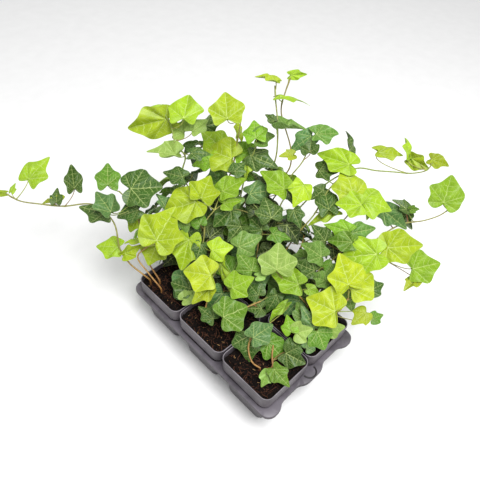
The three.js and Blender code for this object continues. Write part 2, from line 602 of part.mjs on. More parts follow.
// Each soil block has a plain upright hole for every stem that stands in it
for (const { name, x, y, shift } of pots) {
  const centreX = x + shift[0];
  const centreY = y + shift[1];
  let block = solid(soilGeometry());
  for (const { foot } of vines) {
    const inside = Math.abs(foot[0] - x) < POT_PITCH / 2 && Math.abs(foot[1] - y) < POT_PITCH / 2;
    if (!inside) continue;
    const half = STEM_BASE_RADIUS * Math.SQRT1_2 + HOLE_GAP;
    const depth = ROOT_DEPTH + 0.5;
    const hole = new THREE.BoxGeometry(2 * half, 2 * half, depth + 4)
      .translate(foot[0] - centreX, foot[1] - centreY, SOIL_TOP + 4 - (depth + 4) / 2);
    block = block.subtract(solid(hole));
  }
  addNode(`soil_${name}`, geometryOf(block), plastic('#1d1512', 1), centreX, centreY);
}

const allLeaves = [];
vines.forEach((vine, index) => {
  const rows = vine.leaves ?? growLeaves(vine);
  for (const row of rows) allLeaves.push({ vine: index, ...leafFrame(vine, row) });
});
settle(allLeaves);

vines.forEach((vine, index) => {
  const rings = stemRings(vine);
  const samples = [];
  for (let k = 2; k < rings.length; k += 1) {
    for (const t of [0.25, 0.5, 0.75, 1]) samples.push(rings[k - 1].clone().lerp(rings[k], t));
  }
  let body = stemSolid(rings);
  for (const leaf of allLeaves.filter((one) => one.vine === index)) {
    body = body.add(leafSolid(leaf, stalkPath(leaf, samples)));
  }
  // facets finer than this are merged, and a sliver that the join cuts off is dropped
  body = body.asOriginal().simplify(MERGE_FACETS);
  body = wasm.Manifold.compose(body.decompose().filter((piece) => piece.volume() > 1));
  const name = `vine_${String(index + 1).padStart(2, '0')}`;
  addNode(name, geometryOf(body), plastic(leafGreens[index % leafGreens.length], 0.5));
});

export default ivy;
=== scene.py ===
# %% [markdown]
# # Potted Irish ivy in its carry tray
# Six square nursery pots stand in one thin formed tray, and the ivy in them has grown into a
# single leaning canopy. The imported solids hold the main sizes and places. This lesson starts
# from those and gives each piece the form and finish that is seen from close by: smooth round
# corners, crumbly soil, and leaves with lobes, veins and a waxy face. It also makes stems and
# blades thinner than the solids have them, and adds leaves inside the canopy.
# All lengths below are in millimetres, and each mesh is scaled to metres when it is finished.

# %% The frame
import math
import random

import bmesh
import bpy
from mathutils import Matrix, Vector, noise
from mathutils.geometry import interpolate_bezier


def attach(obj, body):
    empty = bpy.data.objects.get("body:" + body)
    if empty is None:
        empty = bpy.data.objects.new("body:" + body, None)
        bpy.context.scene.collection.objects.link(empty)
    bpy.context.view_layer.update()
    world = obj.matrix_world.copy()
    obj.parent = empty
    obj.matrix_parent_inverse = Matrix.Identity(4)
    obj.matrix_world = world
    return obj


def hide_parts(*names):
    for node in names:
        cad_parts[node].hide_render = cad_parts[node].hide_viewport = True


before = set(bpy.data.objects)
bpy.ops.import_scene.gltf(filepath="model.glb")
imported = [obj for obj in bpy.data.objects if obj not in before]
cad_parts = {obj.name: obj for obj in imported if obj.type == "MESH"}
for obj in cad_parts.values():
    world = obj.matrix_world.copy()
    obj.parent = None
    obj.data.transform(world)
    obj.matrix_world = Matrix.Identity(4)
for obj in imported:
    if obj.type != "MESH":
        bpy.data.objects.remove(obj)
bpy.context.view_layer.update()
MM = 0.001                       # one millimetre in metres

# %% [markdown]
# A natural thing is never even, so many sizes below are drawn by chance. A draw that depends
# only on a place and a number gives the same value whatever is made before it, so one leaf can
# be changed without stirring all the others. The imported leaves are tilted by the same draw.

# %% A draw that belongs to a place
def nearest(value):
    """The whole number nearest to value, halves upward."""
    return math.floor(value + 0.5)


def draw(x, y, z, k):
    """A number from 0 to 1 for the thing numbered k at a place."""
    place = nearest(x) * 7919 + nearest(y) * 10473 + nearest(z) * 12997 + k * 15485
    seed = 1 + abs(place) % 2147483646
    for _ in range(3):
        seed = seed * 16807 % 2147483647
    return seed / 2147483647


def ranged(least_and_more, share):
    """The least value with a share of what may be added to it."""
    least, more = least_and_more
    return least + more * share


print("a draw at the origin:", round(draw(0, 0, 0, 1), 4))

# %% [markdown]
# The camera comes first, because every later choice is judged through it. It looks down on the
# tray's front corner. Its place is worked out from an azimuth, an elevation and a distance
# round a point in the canopy, which is easier to correct than three coordinates.

# %% The camera
AZIMUTH = math.radians(-48.5)
ELEVATION = math.radians(46.14)
ROLL = math.radians(5.56)
DISTANCE = 807.7
LOOK_AT = Vector((85.4, 91.6, 88))
LENS = 36                        # as long as the sensor is wide, so the view is 53 degrees wide

camera_back = Vector((
    math.sin(AZIMUTH) * math.cos(ELEVATION),
    -math.cos(AZIMUTH) * math.cos(ELEVATION),
    math.sin(ELEVATION),
))
camera_level = Vector((math.cos(AZIMUTH), math.sin(AZIMUTH), 0))
camera_above = camera_back.cross(camera_level)
camera_right = math.cos(ROLL) * camera_level + math.sin(ROLL) * camera_above
camera_up = math.cos(ROLL) * camera_above - math.sin(ROLL) * camera_level

camera = bpy.data.objects.new("camera", bpy.data.cameras.new("camera"))
camera.data.lens = LENS
camera.data.sensor_width = LENS
camera.matrix_world = (
    Matrix.Translation((LOOK_AT + camera_back * DISTANCE) * MM)
    @ Matrix((camera_right, camera_up, camera_back)).transposed().to_4x4()
)
scene = bpy.context.scene
scene.collection.objects.link(camera)
scene.camera = camera
print("camera at", [round(c, 3) for c in camera.matrix_world.translation])

# %% [markdown]
# A plant is usually photographed under large soft lamps on white. Here a bright world gives
# the even fill, and one wide lamp gives the leaves their soft highlights and the pots a shaded
# side. The Standard view keeps the fresh greens as bright as they are.

# %% Soft light
WORLD_STRENGTH = 0.62
LAMP_POWER = 33
LAMP_SIZE = 1000
LAMP_PLACE = (-150, -600, 1700)

scene.view_settings.view_transform = "Standard"
world = bpy.data.worlds.new("studio")
world.use_nodes = True
world.node_tree.nodes["Background"].inputs["Color"].default_value = (1, 1, 1, 1)
world.node_tree.nodes["Background"].inputs["Strength"].default_value = WORLD_STRENGTH
scene.world = world

lamp = bpy.data.objects.new("lamp", bpy.data.lights.new("lamp", "AREA"))
lamp.data.energy = LAMP_POWER
lamp.data.size = LAMP_SIZE * MM
lamp.location = Vector(LAMP_PLACE) * MM
lamp.rotation_euler = (LOOK_AT * MM - lamp.location).to_track_quat("-Z", "Y").to_euler()
scene.collection.objects.link(lamp)
print("world strength", WORLD_STRENGTH, "and a lamp of", LAMP_POWER, "watts")

# %% [markdown]
# Every finish is a small network of nodes. One function adds a node with its settings and its
# links, so each network reads from top to bottom. Colours are written as the hex values that a
# paint program shows, and are turned to linear light here.

# %% Helpers for materials
def linear(hex_colour):
    """An sRGB hex colour as linear red, green, blue and alpha."""
    shares = [int(hex_colour[k:k + 2], 16) / 255 for k in (1, 3, 5)]
    return tuple(c / 12.92 if c <= 0.04045 else ((c + 0.055) / 1.055) ** 2.4 for c in shares) + (1,)


def feed(node, inputs):
    """Gives each input of a node its value, or the output that feeds it."""
    for key, value in inputs.items():
        if isinstance(value, bpy.types.NodeSocket):
            node.id_data.links.new(value, node.inputs[key])
        else:
            node.inputs[key].default_value = value


def add_node(material, kind, inputs, **settings):
    """Adds a shader node with its inputs and settings, and gives back its outputs."""
    made = material.node_tree.nodes.new("ShaderNode" + kind)
    for name, value in settings.items():
        setattr(made, name, value)
    feed(made, inputs)
    return made.outputs


def new_material(name):
    """A new material and its main shader."""
    material = bpy.data.materials.new(name)
    material.use_nodes = True
    return material, material.node_tree.nodes["Principled BSDF"]


def grain(size):
    """The scale at which a pattern's grain is size millimetres wide on Object coordinates."""
    return 1 / (size * MM)


print("a mid grey in linear light:", round(linear("#808080")[0], 3))

# %% [markdown]
# The floor is a sheet of white seamless paper. It isn't part of the plant. Its faint mottling
# keeps the white from looking like an empty background.

# %% Floor
FLOOR_HALF = 3000

paper, paper_shader = new_material("white_seamless_paper")    # matt and bright, with no gloss
place = add_node(paper, "TexCoord", {})["Object"]
mottle = add_node(paper, "TexNoise", {"Vector": place, "Scale": grain(40)})["Fac"]
tint = add_node(
    paper, "Mix", {0: mottle, 6: linear("#f3f3f3"), 7: linear("#fbfbfb")}, data_type="RGBA"
)[2]
feed(paper_shader, {"Base Color": tint, "Roughness": 0.9, "Specular IOR Level": 0.1})

bm = bmesh.new()
bmesh.ops.create_grid(bm, x_segments=1, y_segments=1, size=FLOOR_HALF * MM)
floor_mesh = bpy.data.meshes.new("floor")
bm.to_mesh(floor_mesh)
bm.free()
floor_mesh.materials.append(paper)
floor = bpy.data.objects.new("floor", floor_mesh)
scene.collection.objects.link(floor)
print("floor of", 2 * FLOOR_HALF / 1000, "metres")

# %% [markdown]
# Every piece below is shaped in a bmesh and then becomes one object at the origin that stands
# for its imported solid. The same closing steps are needed each time, so they are one function:
# it turns the faces outwards, scales the mesh to metres, smooths it and hands it over.

# %% Handing a piece over
def hand_over(bm, name, nodes, materials, smooth_under=40):
    """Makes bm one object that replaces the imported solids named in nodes."""
    bmesh.ops.recalc_face_normals(bm, faces=bm.faces)
    bmesh.ops.scale(bm, vec=(MM, MM, MM), verts=bm.verts)
    for face in bm.faces:
        face.smooth = True
    mesh = bpy.data.meshes.new(name)
    bm.to_mesh(mesh)
    bm.free()
    mesh.set_sharp_from_angle(angle=math.radians(smooth_under))
    for material in materials:
        mesh.materials.append(material)
    piece = bpy.data.objects.new(name, mesh)
    scene.collection.objects.link(piece)
    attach(piece, "root")
    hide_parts(*nodes)
    return sum(len(face.vertices) - 2 for face in mesh.polygons)


def parts(made, kind):
    """The verts, edges or faces among what an operator made."""
    return [item for item in made if isinstance(item, kind)]


# %% [markdown]
# Pots, pockets and soil are all squares with rounded corners, stacked in levels. One ring of
# edges is enough to begin with: a plain square whose corners are bevelled, and whose straight
# sides are cut into even steps. Extruding that ring again and again builds every wall, and at
# each level the ring takes its own half width, corner radius and height.

# %% Rounded squares and walls
CORNER_SEGMENTS = 8


def rounded_ring(bm, x, y, ring, cuts):
    """A ring of edges round x, y. A ring is (half width, corner radius, height)."""
    half, corner, height = ring
    made = bmesh.ops.create_grid(
        bm, x_segments=1, y_segments=1, size=half, matrix=Matrix.Translation((x, y, height))
    )
    bevelled = bmesh.ops.bevel(
        bm, geom=made["verts"], offset=corner, segments=CORNER_SEGMENTS, profile=0.5,
        affect="VERTICES", material=-1,
    )
    face = bevelled["verts"][0].link_faces[0]
    edges = face.edges[:]
    bmesh.ops.delete(bm, geom=[face], context="FACES_ONLY")
    straight = [edge for edge in edges if edge.calc_length() > half]
    arcs = [edge for edge in edges if edge.calc_length() <= half]
    if cuts:
        cut = bmesh.ops.subdivide_edges(bm, edges=straight, cuts=cuts)
        straight = parts(cut["geom_split"], bmesh.types.BMEdge)
    return list(set(arcs + straight))


def clamped(value, limit):
    """The value, held between -limit and limit."""
    return max(-limit, min(limit, value))


def ring_place(spot, x, y, old, new):
    """Where a point of the old ring lies on the new one."""
    core = old[0] - old[1]
    local = Vector((spot.x - x, spot.y - y, 0))
    inner = Vector((clamped(local.x, core), clamped(local.y, core), 0))
    direction = (local - inner).normalized()
    at = inner * ((new[0] - new[1]) / core) + direction * new[1]
    return Vector((x + at.x, y + at.y, new[2]))


def climb(bm, edges, x, y, rings):
    """Extrudes a ring of edges through the later rings. Gives back the last ring's edges."""
    for old, new in zip(rings, rings[1:]):
        made = bmesh.ops.extrude_edge_only(bm, edges=edges)["geom"]
        edges = parts(made, bmesh.types.BMEdge)
        for vert in parts(made, bmesh.types.BMVert):
            vert.co = ring_place(vert.co, x, y, old, new)
    return edges


bm = bmesh.new()
print("a ring has", len(rounded_ring(bm, 0, 0, (45, 12, 88), 3)), "edges")
bm.free()

# %% [markdown]
# The tray is vacuum formed from thin sheet of recycled polystyrene, so its wall is even, its
# corners are round and its grey has a faint purple cast. The pots are moulded polypropylene
# with fine upright ribs on the collar. Both pick up dust and dried compost, which shows as
# cloudy paler patches and a few brown specks. Above one height a lighter colour is painted:
# on the tray's flange top it is a painted highlight over the painted shade of the lip and
# pockets, and on the pots' thin rim it is a painted highlight with some wear.

# %% Grey plastics
def grey_plastic(name, dark, light, highlight_and_wear, highlight_and_wear_height, roughness):
    """Recycled plastic: cloudy grey, dusty specks, and above one height a painted highlight, with wear on a
    rim.
    """
    material, shader = new_material(name)
    place = add_node(material, "TexCoord", {})["Object"]
    height = add_node(material, "SeparateXYZ", {0: place})["Z"]
    cloud = add_node(
        material, "TexNoise", {"Vector": place, "Scale": grain(26), "Detail": 5, "Roughness": 0.6}
    )["Fac"]
    cloudy = add_node(
        material, "MapRange", {0: cloud, 1: 0.36, 2: 0.64}, interpolation_type="SMOOTHSTEP"
    )[0]
    grey = add_node(
        material, "Mix", {0: cloudy, 6: linear(dark), 7: linear(light)}, data_type="RGBA"
    )[2]
    # share of the lighter colour above one height: a painted highlight, with wear on a rim
    edge = add_node(
        material, "MapRange",
        {0: height, 1: (highlight_and_wear_height - 0.7) * MM, 2: highlight_and_wear_height * MM, 4: 0.8},
    )[0]
    patchy = add_node(material, "Math", {0: cloudy, 1: 0.4, 2: 0.6}, operation="MULTIPLY_ADD")[0]
    edge = add_node(material, "Math", {0: edge, 1: patchy}, operation="MULTIPLY")[0]
    grey_with_highlight_and_wear = add_node(
        material, "Mix", {0: edge, 6: grey, 7: linear(highlight_and_wear)}, data_type="RGBA"
    )[2]
    cells = add_node(material, "TexVoronoi", {"Vector": place, "Scale": grain(5)})["Distance"]
    speck = add_node(material, "MapRange", {0: cells, 1: 0.1, 2: 0.05})[0]
    dusty = add_node(
        material, "Mix", {0: speck, 6: grey_with_highlight_and_wear, 7: linear("#3b2c22")}, data_type="RGBA"
    )[2]
    fine = add_node(
        material, "TexNoise", {"Vector": place, "Scale": grain(0.9), "Detail": 2}
    )["Fac"]
    pebbled = add_node(
        material, "Bump", {"Height": fine, "Distance": 0.05 * MM, "Strength": 0.6}
    )["Normal"]
    worn = add_node(material, "MapRange", {0: cloud, 3: roughness - 0.09, 4: roughness + 0.09})[0]
    feed(shader, {"Base Color": dusty, "Roughness": worn, "Normal": pebbled, "IOR": 1.5})
    return material


# the tray's lighter flange top is a painted highlight, and its darker lip and pockets are painted shade
tray_sheet = grey_plastic("vacuum_formed_tray_sheet", "#2b272b", "#443e43", "#736e76", 59.95, 0.42)
# the bead's dark grey is painted shade along its ridge, with dust specks
painted_shade_bead_sheet = grey_plastic("bead_of_tray_sheet_in_painted_shade", "#1a1719", "#2f2a2d", "#2f2a2d", 90, 0.6)
# the pots' lighter rim top is a painted highlight with some wear
pot_plastic = grey_plastic("moulded_pot_plastic", "#423d41", "#5c565b", "#8d878e", 88.0, 0.48)
print("plastics:", tray_sheet.name, "with", painted_shade_bead_sheet.name, "and", pot_plastic.name)

# %% [markdown]
# The tray starts as one flat outline with three lobes on each short side. Its corner points are
# written down, and each is bevelled to its own radius. The sheet between that outline and the
# six pocket mouths is filled in one step. Then each mouth is extruded down to its pocket floor,
# with a small round at both ends, the outer edge is turned down as a lip, and solidify gives
# the whole skin the thickness of the sheet. The flange is a little narrower on the long sides
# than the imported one.

# %% The carry tray
POT_PITCH = 92
FLANGE_TOP = 60
SHEET = 1.0
LIP = 4.5
OUTLINE_BEVEL = 0.8              # offset of a bevel, in parts of the corner's radius
LIP_REACH = 140                  # this far from the middle the lip grows by its full amount
# one quarter of the outline: x, y and corner radius, from the middle lobe to the long side
QUARTER = [
    (17, 148, 8), (27, 141, 5.5), (61, 141, 5.5), (71, 148, 7.5), (88, 148, 8.5), (95.4, 138.5, 8),
]
POCKET_RINGS = [
    (43.6, 13, 60), (42.5, 11.9, 59.6), (41.9, 11.3, 58.6), (41.7, 11.1, 57),
    (37.8, 10.5, 30), (34.0, 10, 3.4), (33.4, 9.4, 1.8), (32.2, 8.2, 1.0),
]
LIP_RINGS = [(0.35, 59.75), (0.6, 59.2), (0.9, FLANGE_TOP - LIP)]

bm = bmesh.new()
turns = [(1, 1), (-1, 1), (-1, -1), (1, -1)]
corners = []
for turn, (sx, sy) in enumerate(turns):
    quarter = QUARTER if turn % 2 else QUARTER[::-1]
    corners += [(bm.verts.new((sx * x, sy * y, FLANGE_TOP)), radius) for x, y, radius in quarter]
outline = bm.faces.new([vert for vert, _ in corners])
for radius in sorted({radius for _, radius in corners}, reverse=True):
    geom = [vert for vert, own in corners if vert.is_valid and own == radius]
    bmesh.ops.bevel(
        bm, geom=geom, offset=radius * OUTLINE_BEVEL, segments=6, profile=0.5,
        affect="VERTICES", material=-1,
    )
outline = max(bm.faces, key=lambda face: face.calc_area())
rim_edges = outline.edges[:]
bmesh.ops.delete(bm, geom=[outline], context="FACES_ONLY")

pockets = [(sx * POT_PITCH / 2, row * POT_PITCH) for sx in (-1, 1) for row in (-1, 0, 1)]
mouths = [rounded_ring(bm, x, y, POCKET_RINGS[0], 0) for x, y in pockets]
bmesh.ops.triangle_fill(bm, use_beauty=True, edges=rim_edges + sum(mouths, []))
for (x, y), mouth in zip(pockets, mouths):
    floor_edges = climb(bm, mouth, x, y, POCKET_RINGS)
    bmesh.ops.contextual_create(bm, geom=floor_edges)
lip_edges = rim_edges
reached = 0
for outwards, height in LIP_RINGS:
    made = bmesh.ops.extrude_edge_only(bm, edges=lip_edges)["geom"]
    lip_edges = parts(made, bmesh.types.BMEdge)
    for vert in parts(made, bmesh.types.BMVert):
        grow = 1 + (outwards - reached) / LIP_REACH
        vert.co = (vert.co.x * grow, vert.co.y * grow, height)
    reached = outwards
bmesh.ops.recalc_face_normals(bm, faces=bm.faces)
widest = max(bm.faces, key=lambda face: face.calc_center_median().z)
if widest.normal.z < 0:
    bmesh.ops.reverse_faces(bm, faces=bm.faces)
bmesh.ops.solidify(bm, geom=bm.faces, thickness=SHEET)
print("tray skin from z", round(min(v.co.z for v in bm.verts), 2),
      "to", round(max(v.co.z for v in bm.verts), 2))

# %% [markdown]
# Two small things finish the tray. An upright rib stands between the two middle pockets, as on
# the imported solid. On each middle lobe a curved bead is pressed into the sheet to stiffen it.
# The bead is a thin section spun through half a circle, so it's a real ridge.
# Its darker colour is painted shade along the ridge.

# %% The tray's rib and beads
RIB_HALF_X = 2.6
RIB_HALF_Y = 14
BEAD_REACH = 10.5                # radius of the bead's curve
BEAD_RADIUS = 1.3
BEAD_STEPS = 24
BEAD_MIDDLE = 137.5              # middle of the bead's curve, along the tray
BEAD_SUNK = 0.1

rib = bmesh.ops.create_grid(bm, x_segments=1, y_segments=1, size=1)["verts"]
bmesh.ops.scale(bm, vec=(RIB_HALF_X, RIB_HALF_Y, 1), verts=rib)
bmesh.ops.bevel(
    bm, geom=rib, offset=2, segments=6, profile=0.5, affect="VERTICES", material=-1
)
rib_face = min((face for face in bm.faces if len(face.verts) > 20),
               key=lambda face: face.calc_center_median().length)
raised = bmesh.ops.extrude_face_region(bm, geom=[rib_face])["geom"]
bmesh.ops.translate(
    bm, vec=(0, 0, FLANGE_TOP - SHEET / 2), verts=parts(raised, bmesh.types.BMVert)
)

plain_faces = len(bm.faces)
for side in (-1, 1):
    centre = Vector((0, side * BEAD_MIDDLE, FLANGE_TOP - BEAD_SUNK))
    start = Matrix.Translation(centre + Vector((BEAD_REACH, 0, 0))) @ Matrix.Rotation(
        math.pi / 2, 4, "X"
    )
    section = bmesh.ops.create_circle(
        bm, cap_ends=True, segments=8, radius=BEAD_RADIUS, matrix=start
    )["verts"]
    geom = section[0].link_faces[:] + list({edge for vert in section for edge in vert.link_edges})
    bmesh.ops.spin(
        bm, geom=geom + section, cent=centre, axis=(0, 0, 1), angle=side * math.pi,
        steps=BEAD_STEPS,
    )

for index, face in enumerate(bm.faces):
    face.material_index = 0 if index < plain_faces else 1
triangles = hand_over(
    bm, "carry_tray_sheet", ["carry_tray"], [tray_sheet, painted_shade_bead_sheet], 35
)
print("tray:", triangles, "triangles")

# %% [markdown]
# A pot is one wall that goes up outside, over the rim and down inside, so it is a single ring
# carried through a list of levels and closed by its two floors. The list follows the packed
# pot, rounds its corners and lifts the lower edge of the collar by two millimetres. The collar's
# ribs come from the same list: on those levels every second point of a straight side stands a
# little further out.

# %% Pots
RIB_CUTS = 51                    # gives ribs about 2.5 mm apart
RIB_DEPTH = 0.14
POT_RINGS = [
    (30.6, 7.6, 1.3), (31.6, 8.6, 1.6), (32.1, 9.0, 2.6), (36.0, 9.5, 31), (39.6, 10, 59.6),
    (40.1, 10, 61.0), (40.6, 10.4, 63.6), (43.6, 11.6, 63.7), (44.2, 12, 64.3), (44.3, 12, 65.4),
    (44.5, 12, 72), (44.8, 12, 82.5), (44.85, 12, 84.4), (45.0, 12, 84.8), (45.0, 12, 87.3),
    (44.8, 11.8, 87.85), (44.25, 11.3, 88), (43.7, 10.7, 87.85), (43.5, 10.5, 87.3),
    (43.1, 10.6, 74), (42.9, 10.7, 63.2), (42.5, 10.4, 62.6), (39.4, 9, 62.4), (38.8, 8.8, 61.6),
    (35.0, 8.2, 32), (31.3, 7.9, 4.2), (30.4, 7, 3.0), (29.6, 6.2, 2.8),
]
RIBBED_FROM = 66
RIBBED_TO = 83
STRAIGHT_HALF = 33               # half the straight part of a side
RIBBED_HALF = 31
WALL_REACH = 44                  # points further out than this are on the collar's outside
POT_SHIFTS = {"left middle": (1.1, 0.2), "right front": (-0.5, 0.7), "right middle": (0.3, 0)}


def pot_middle(column, row):
    """The middle of a pot, a little off its pocket's middle where it stands loose."""
    dx, dy = POT_SHIFTS.get(f"{column} {row}", (0, 0))
    x = POT_PITCH / 2 * (-1 if column == "left" else 1)
    return x + dx, POT_PITCH * ("front", "middle", "back").index(row) - POT_PITCH + dy


pots = [(column, row) for column in ("left", "right") for row in ("front", "middle", "back")]
for column, row in pots:
    x, y = pot_middle(column, row)
    bm = bmesh.new()
    ring = rounded_ring(bm, x, y, POT_RINGS[0], RIB_CUTS)
    bmesh.ops.contextual_create(bm, geom=ring)
    inner = climb(bm, ring, x, y, POT_RINGS)
    bmesh.ops.contextual_create(bm, geom=inner)
    for vert in bm.verts:
        reach = max(abs(vert.co.x - x), abs(vert.co.y - y))
        side = min(abs(vert.co.x - x), abs(vert.co.y - y))
        step = nearest(side / (2 * STRAIGHT_HALF / (RIB_CUTS + 1)))
        on_collar = RIBBED_FROM < vert.co.z < RIBBED_TO and reach > WALL_REACH
        if on_collar and side < RIBBED_HALF and step % 2:
            outwards = Vector((vert.co.x - x, vert.co.y - y, 0))
            axis = 0 if abs(outwards.x) > abs(outwards.y) else 1
            vert.co[axis] += math.copysign(RIB_DEPTH, outwards[axis])
    name = f"pot_{column}_{row}"
    triangles = hand_over(bm, name + "_wall", [name], [pot_plastic], 50)
print("six pots of", triangles, "triangles each")

# %% [markdown]
# The compost is mostly peat: nearly black when damp, with rusty brown fibres, crumbs of every
# size and a few straw-coloured bits. It has no gloss at all. Colour changes from crumb to
# crumb, so two noises of different grain are mixed, and the bump is as coarse as real crumb.

# %% Compost materials
def rough_stuff(name, dark, light, size, depth):
    """A dry, matt stuff of two colours, broken up at a grain of size millimetres."""
    material, shader = new_material(name)
    place = add_node(material, "TexCoord", {})["Object"]
    coarse = add_node(
        material, "TexNoise", {"Vector": place, "Scale": grain(size), "Detail": 6, "Roughness": 0.7}
    )["Fac"]
    patch = add_node(material, "MapRange", {0: coarse, 1: 0.4, 2: 0.68})[0]
    mixed = add_node(
        material, "Mix", {0: patch, 6: linear(dark), 7: linear(light)}, data_type="RGBA"
    )[2]
    fine = add_node(
        material, "TexNoise", {"Vector": place, "Scale": grain(size / 4), "Detail": 4}
    )["Fac"]
    crumbly = add_node(
        material, "Bump", {"Height": fine, "Distance": depth * MM, "Strength": 0.9}
    )["Normal"]
    feed(shader, {
        "Base Color": mixed, "Normal": crumbly, "Roughness": 0.95, "Specular IOR Level": 0.2,
    })
    return material


damp_peat = rough_stuff("damp_peat_compost", "#040302", "#1c110c", 3.5, 0.7)
rusty_peat = rough_stuff("rusty_peat_crumb", "#180d09", "#3e251a", 2.5, 0.5)
root_fibre = rough_stuff("dry_root_fibre", "#341f18", "#6e4834", 2.0, 0.15)
straw_bit = rough_stuff("straw_coloured_bark_bit", "#8a6540", "#c2a06c", 1.6, 0.2)
print("compost materials:", damp_peat.name, rusty_peat.name, root_fibre.name, straw_bit.name)

# %% [markdown]
# The bed of compost is a fine grid pushed up and down by three sizes of noise, pulled in to the
# pot's rounded square and extruded down to the pot's floor. Loose crumbs, fibres and bark bits
# are then scattered on it. Each of those is small and there are hundreds, so each has only a
# few faces. A crumb is a coarse ball squashed and turned by chance, and a fibre is a thin tube
# that follows a short wandering line. The draw used for the plant steps evenly from one number
# to the next, so it would lay hundreds of bits out in rows. Scattering needs draws that don't
# follow from each other, and Python's own generator gives those, the same ones in each run.

# %% A tube along a line
def tube(bm, points, radii, sides):
    """A closed tube through points. Gives back its verts."""
    heading = (points[1] - points[0]).normalized()
    frame_now = heading.to_track_quat("Z", "Y").to_matrix().to_4x4()
    frame_now.translation = points[0]
    made = bmesh.ops.create_circle(
        bm, cap_ends=True, segments=sides, radius=radii[0], matrix=frame_now
    )["verts"]
    edges = made[0].link_faces[0].edges[:]
    verts = list(made)
    for k in range(1, len(points)):
        ahead = points[min(k + 1, len(points) - 1)] - points[k - 1]
        turn = heading.rotation_difference(ahead.normalized()).to_matrix().to_4x4()
        heading = ahead.normalized()
        grown = bmesh.ops.extrude_edge_only(bm, edges=edges)["geom"]
        edges = parts(grown, bmesh.types.BMEdge)
        ring = parts(grown, bmesh.types.BMVert)
        move = (
            Matrix.Translation(points[k]) @ turn @ Matrix.Scale(radii[k] / radii[k - 1], 4)
            @ Matrix.Translation(-points[k - 1])
        )
        bmesh.ops.transform(bm, matrix=move, verts=ring)
        verts += ring
    bmesh.ops.contextual_create(bm, geom=edges)
    return verts


bm = bmesh.new()
tube(bm, [Vector((0, 0, 0)), Vector((0, 0, 5)), Vector((1, 0, 9))], [1, 1, 0.5], 5)
print("a short tube has", len(bm.faces), "faces")
bm.free()

# %% [markdown]
# An operator on a big bmesh takes longer than on a small one, even when it adds only a few
# faces. So the loose bits are made a batch at a time in a small bmesh of their own, and each
# batch is then poured into the bed.

# %% Pouring one bmesh into another
def pour(bm, batch, material_index):
    """Adds everything in batch to bm, with one of the piece's materials."""
    for face in batch.faces:
        face.material_index = material_index
    mesh = bpy.data.meshes.new("batch")
    batch.to_mesh(mesh)
    batch.free()
    bm.from_mesh(mesh)
    bpy.data.meshes.remove(mesh)


# %% The soil in each pot
SOIL_TOP = 80
SOIL_CELLS = 84
SOIL_HALF = 42.5
SOIL_CORNER = 10.3
SOIL_SKIRT = [(42.4, 10.2, 64), (38.3, 8.4, 62.0), (30.2, 7.3, 3.3)]
DARK_CRUMBS = 420
RUSTY_CRUMBS = 170
FIBRES = 190
BITS = 24
BATCH = 40
SOIL_SUNK = 0.9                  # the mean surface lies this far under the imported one
SOIL_SWELL = 1.3
SOIL_NOISES = [(2.4, 0.06), (2.2, 0.2), (1.9, 0.45)]    # height, and bumps per millimetre
CRUMB_SHAPE = (1.35, 0.9, 0.7, 1)
CRUMB_RADII = (0.6, 1.7)         # here and below: the least, and how much chance may add
CRUMB_RISE = 0.3                 # of a crumb's middle, in parts of its radius
FIBRE_ROOM = 2                   # fibres stay this far inside the pot's wall
FIBRE_STEPS = 4
FIBRE_LENGTHS = (5, 11)
luck = random.Random(12)


def soil_height(x, y):
    """Height of the compost at a place, with slow swells, lumps and fine crumb."""
    height = SOIL_TOP - SOIL_SUNK + SOIL_SWELL * math.sin(x * 0.09 + y * 0.05)
    for size, bumps in SOIL_NOISES:
        height += size * noise.noise(Vector((x, y, 0)) * bumps)
    return height


def soil_spot(x, y, inset):
    """A place drawn by chance on the compost of the pot at x, y."""
    at_x = x + luck.uniform(-1, 1) * (SOIL_HALF - inset)
    at_y = y + luck.uniform(-1, 1) * (SOIL_HALF - inset)
    return Vector((at_x, at_y, soil_height(at_x, at_y)))


def soil_bed(x, y):
    """The compost of one pot as a closed body with an uneven top."""
    bm = bmesh.new()
    bed = bmesh.ops.create_grid(
        bm, x_segments=SOIL_CELLS, y_segments=SOIL_CELLS, size=SOIL_HALF,
        matrix=Matrix.Translation((x, y, SOIL_TOP)),
    )["verts"]
    core = SOIL_HALF - SOIL_CORNER
    for vert in bed:
        local = Vector((vert.co.x - x, vert.co.y - y, 0))
        inner = Vector((clamped(local.x, core), clamped(local.y, core), 0))
        out = local - inner
        spot = inner + out.normalized() * max(abs(out.x), abs(out.y)) + Vector((x, y, 0))
        vert.co = (spot.x, spot.y, soil_height(spot.x, spot.y))
    edges = [edge for edge in bm.edges if len(edge.link_faces) == 1]
    edges = climb(bm, edges, x, y, [(SOIL_HALF, SOIL_CORNER, SOIL_TOP)] + SOIL_SKIRT)
    bmesh.ops.contextual_create(bm, geom=edges)
    return bm


def crumb(bm, x, y):
    """A crumb of peat: a squashed ball of twenty faces."""
    spot = soil_spot(x, y, 4)
    radius = ranged(CRUMB_RADII, luck.random() ** 3)
    shape = (
        Matrix.Translation(spot + Vector((0, 0, CRUMB_RISE * radius)))
        @ Matrix.Rotation(luck.uniform(0, 2 * math.pi), 4, "Z")
        @ Matrix.Rotation(luck.random(), 4, "X") @ Matrix.Diagonal(CRUMB_SHAPE)
    )
    bmesh.ops.create_icosphere(bm, subdivisions=1, radius=radius, matrix=shape)


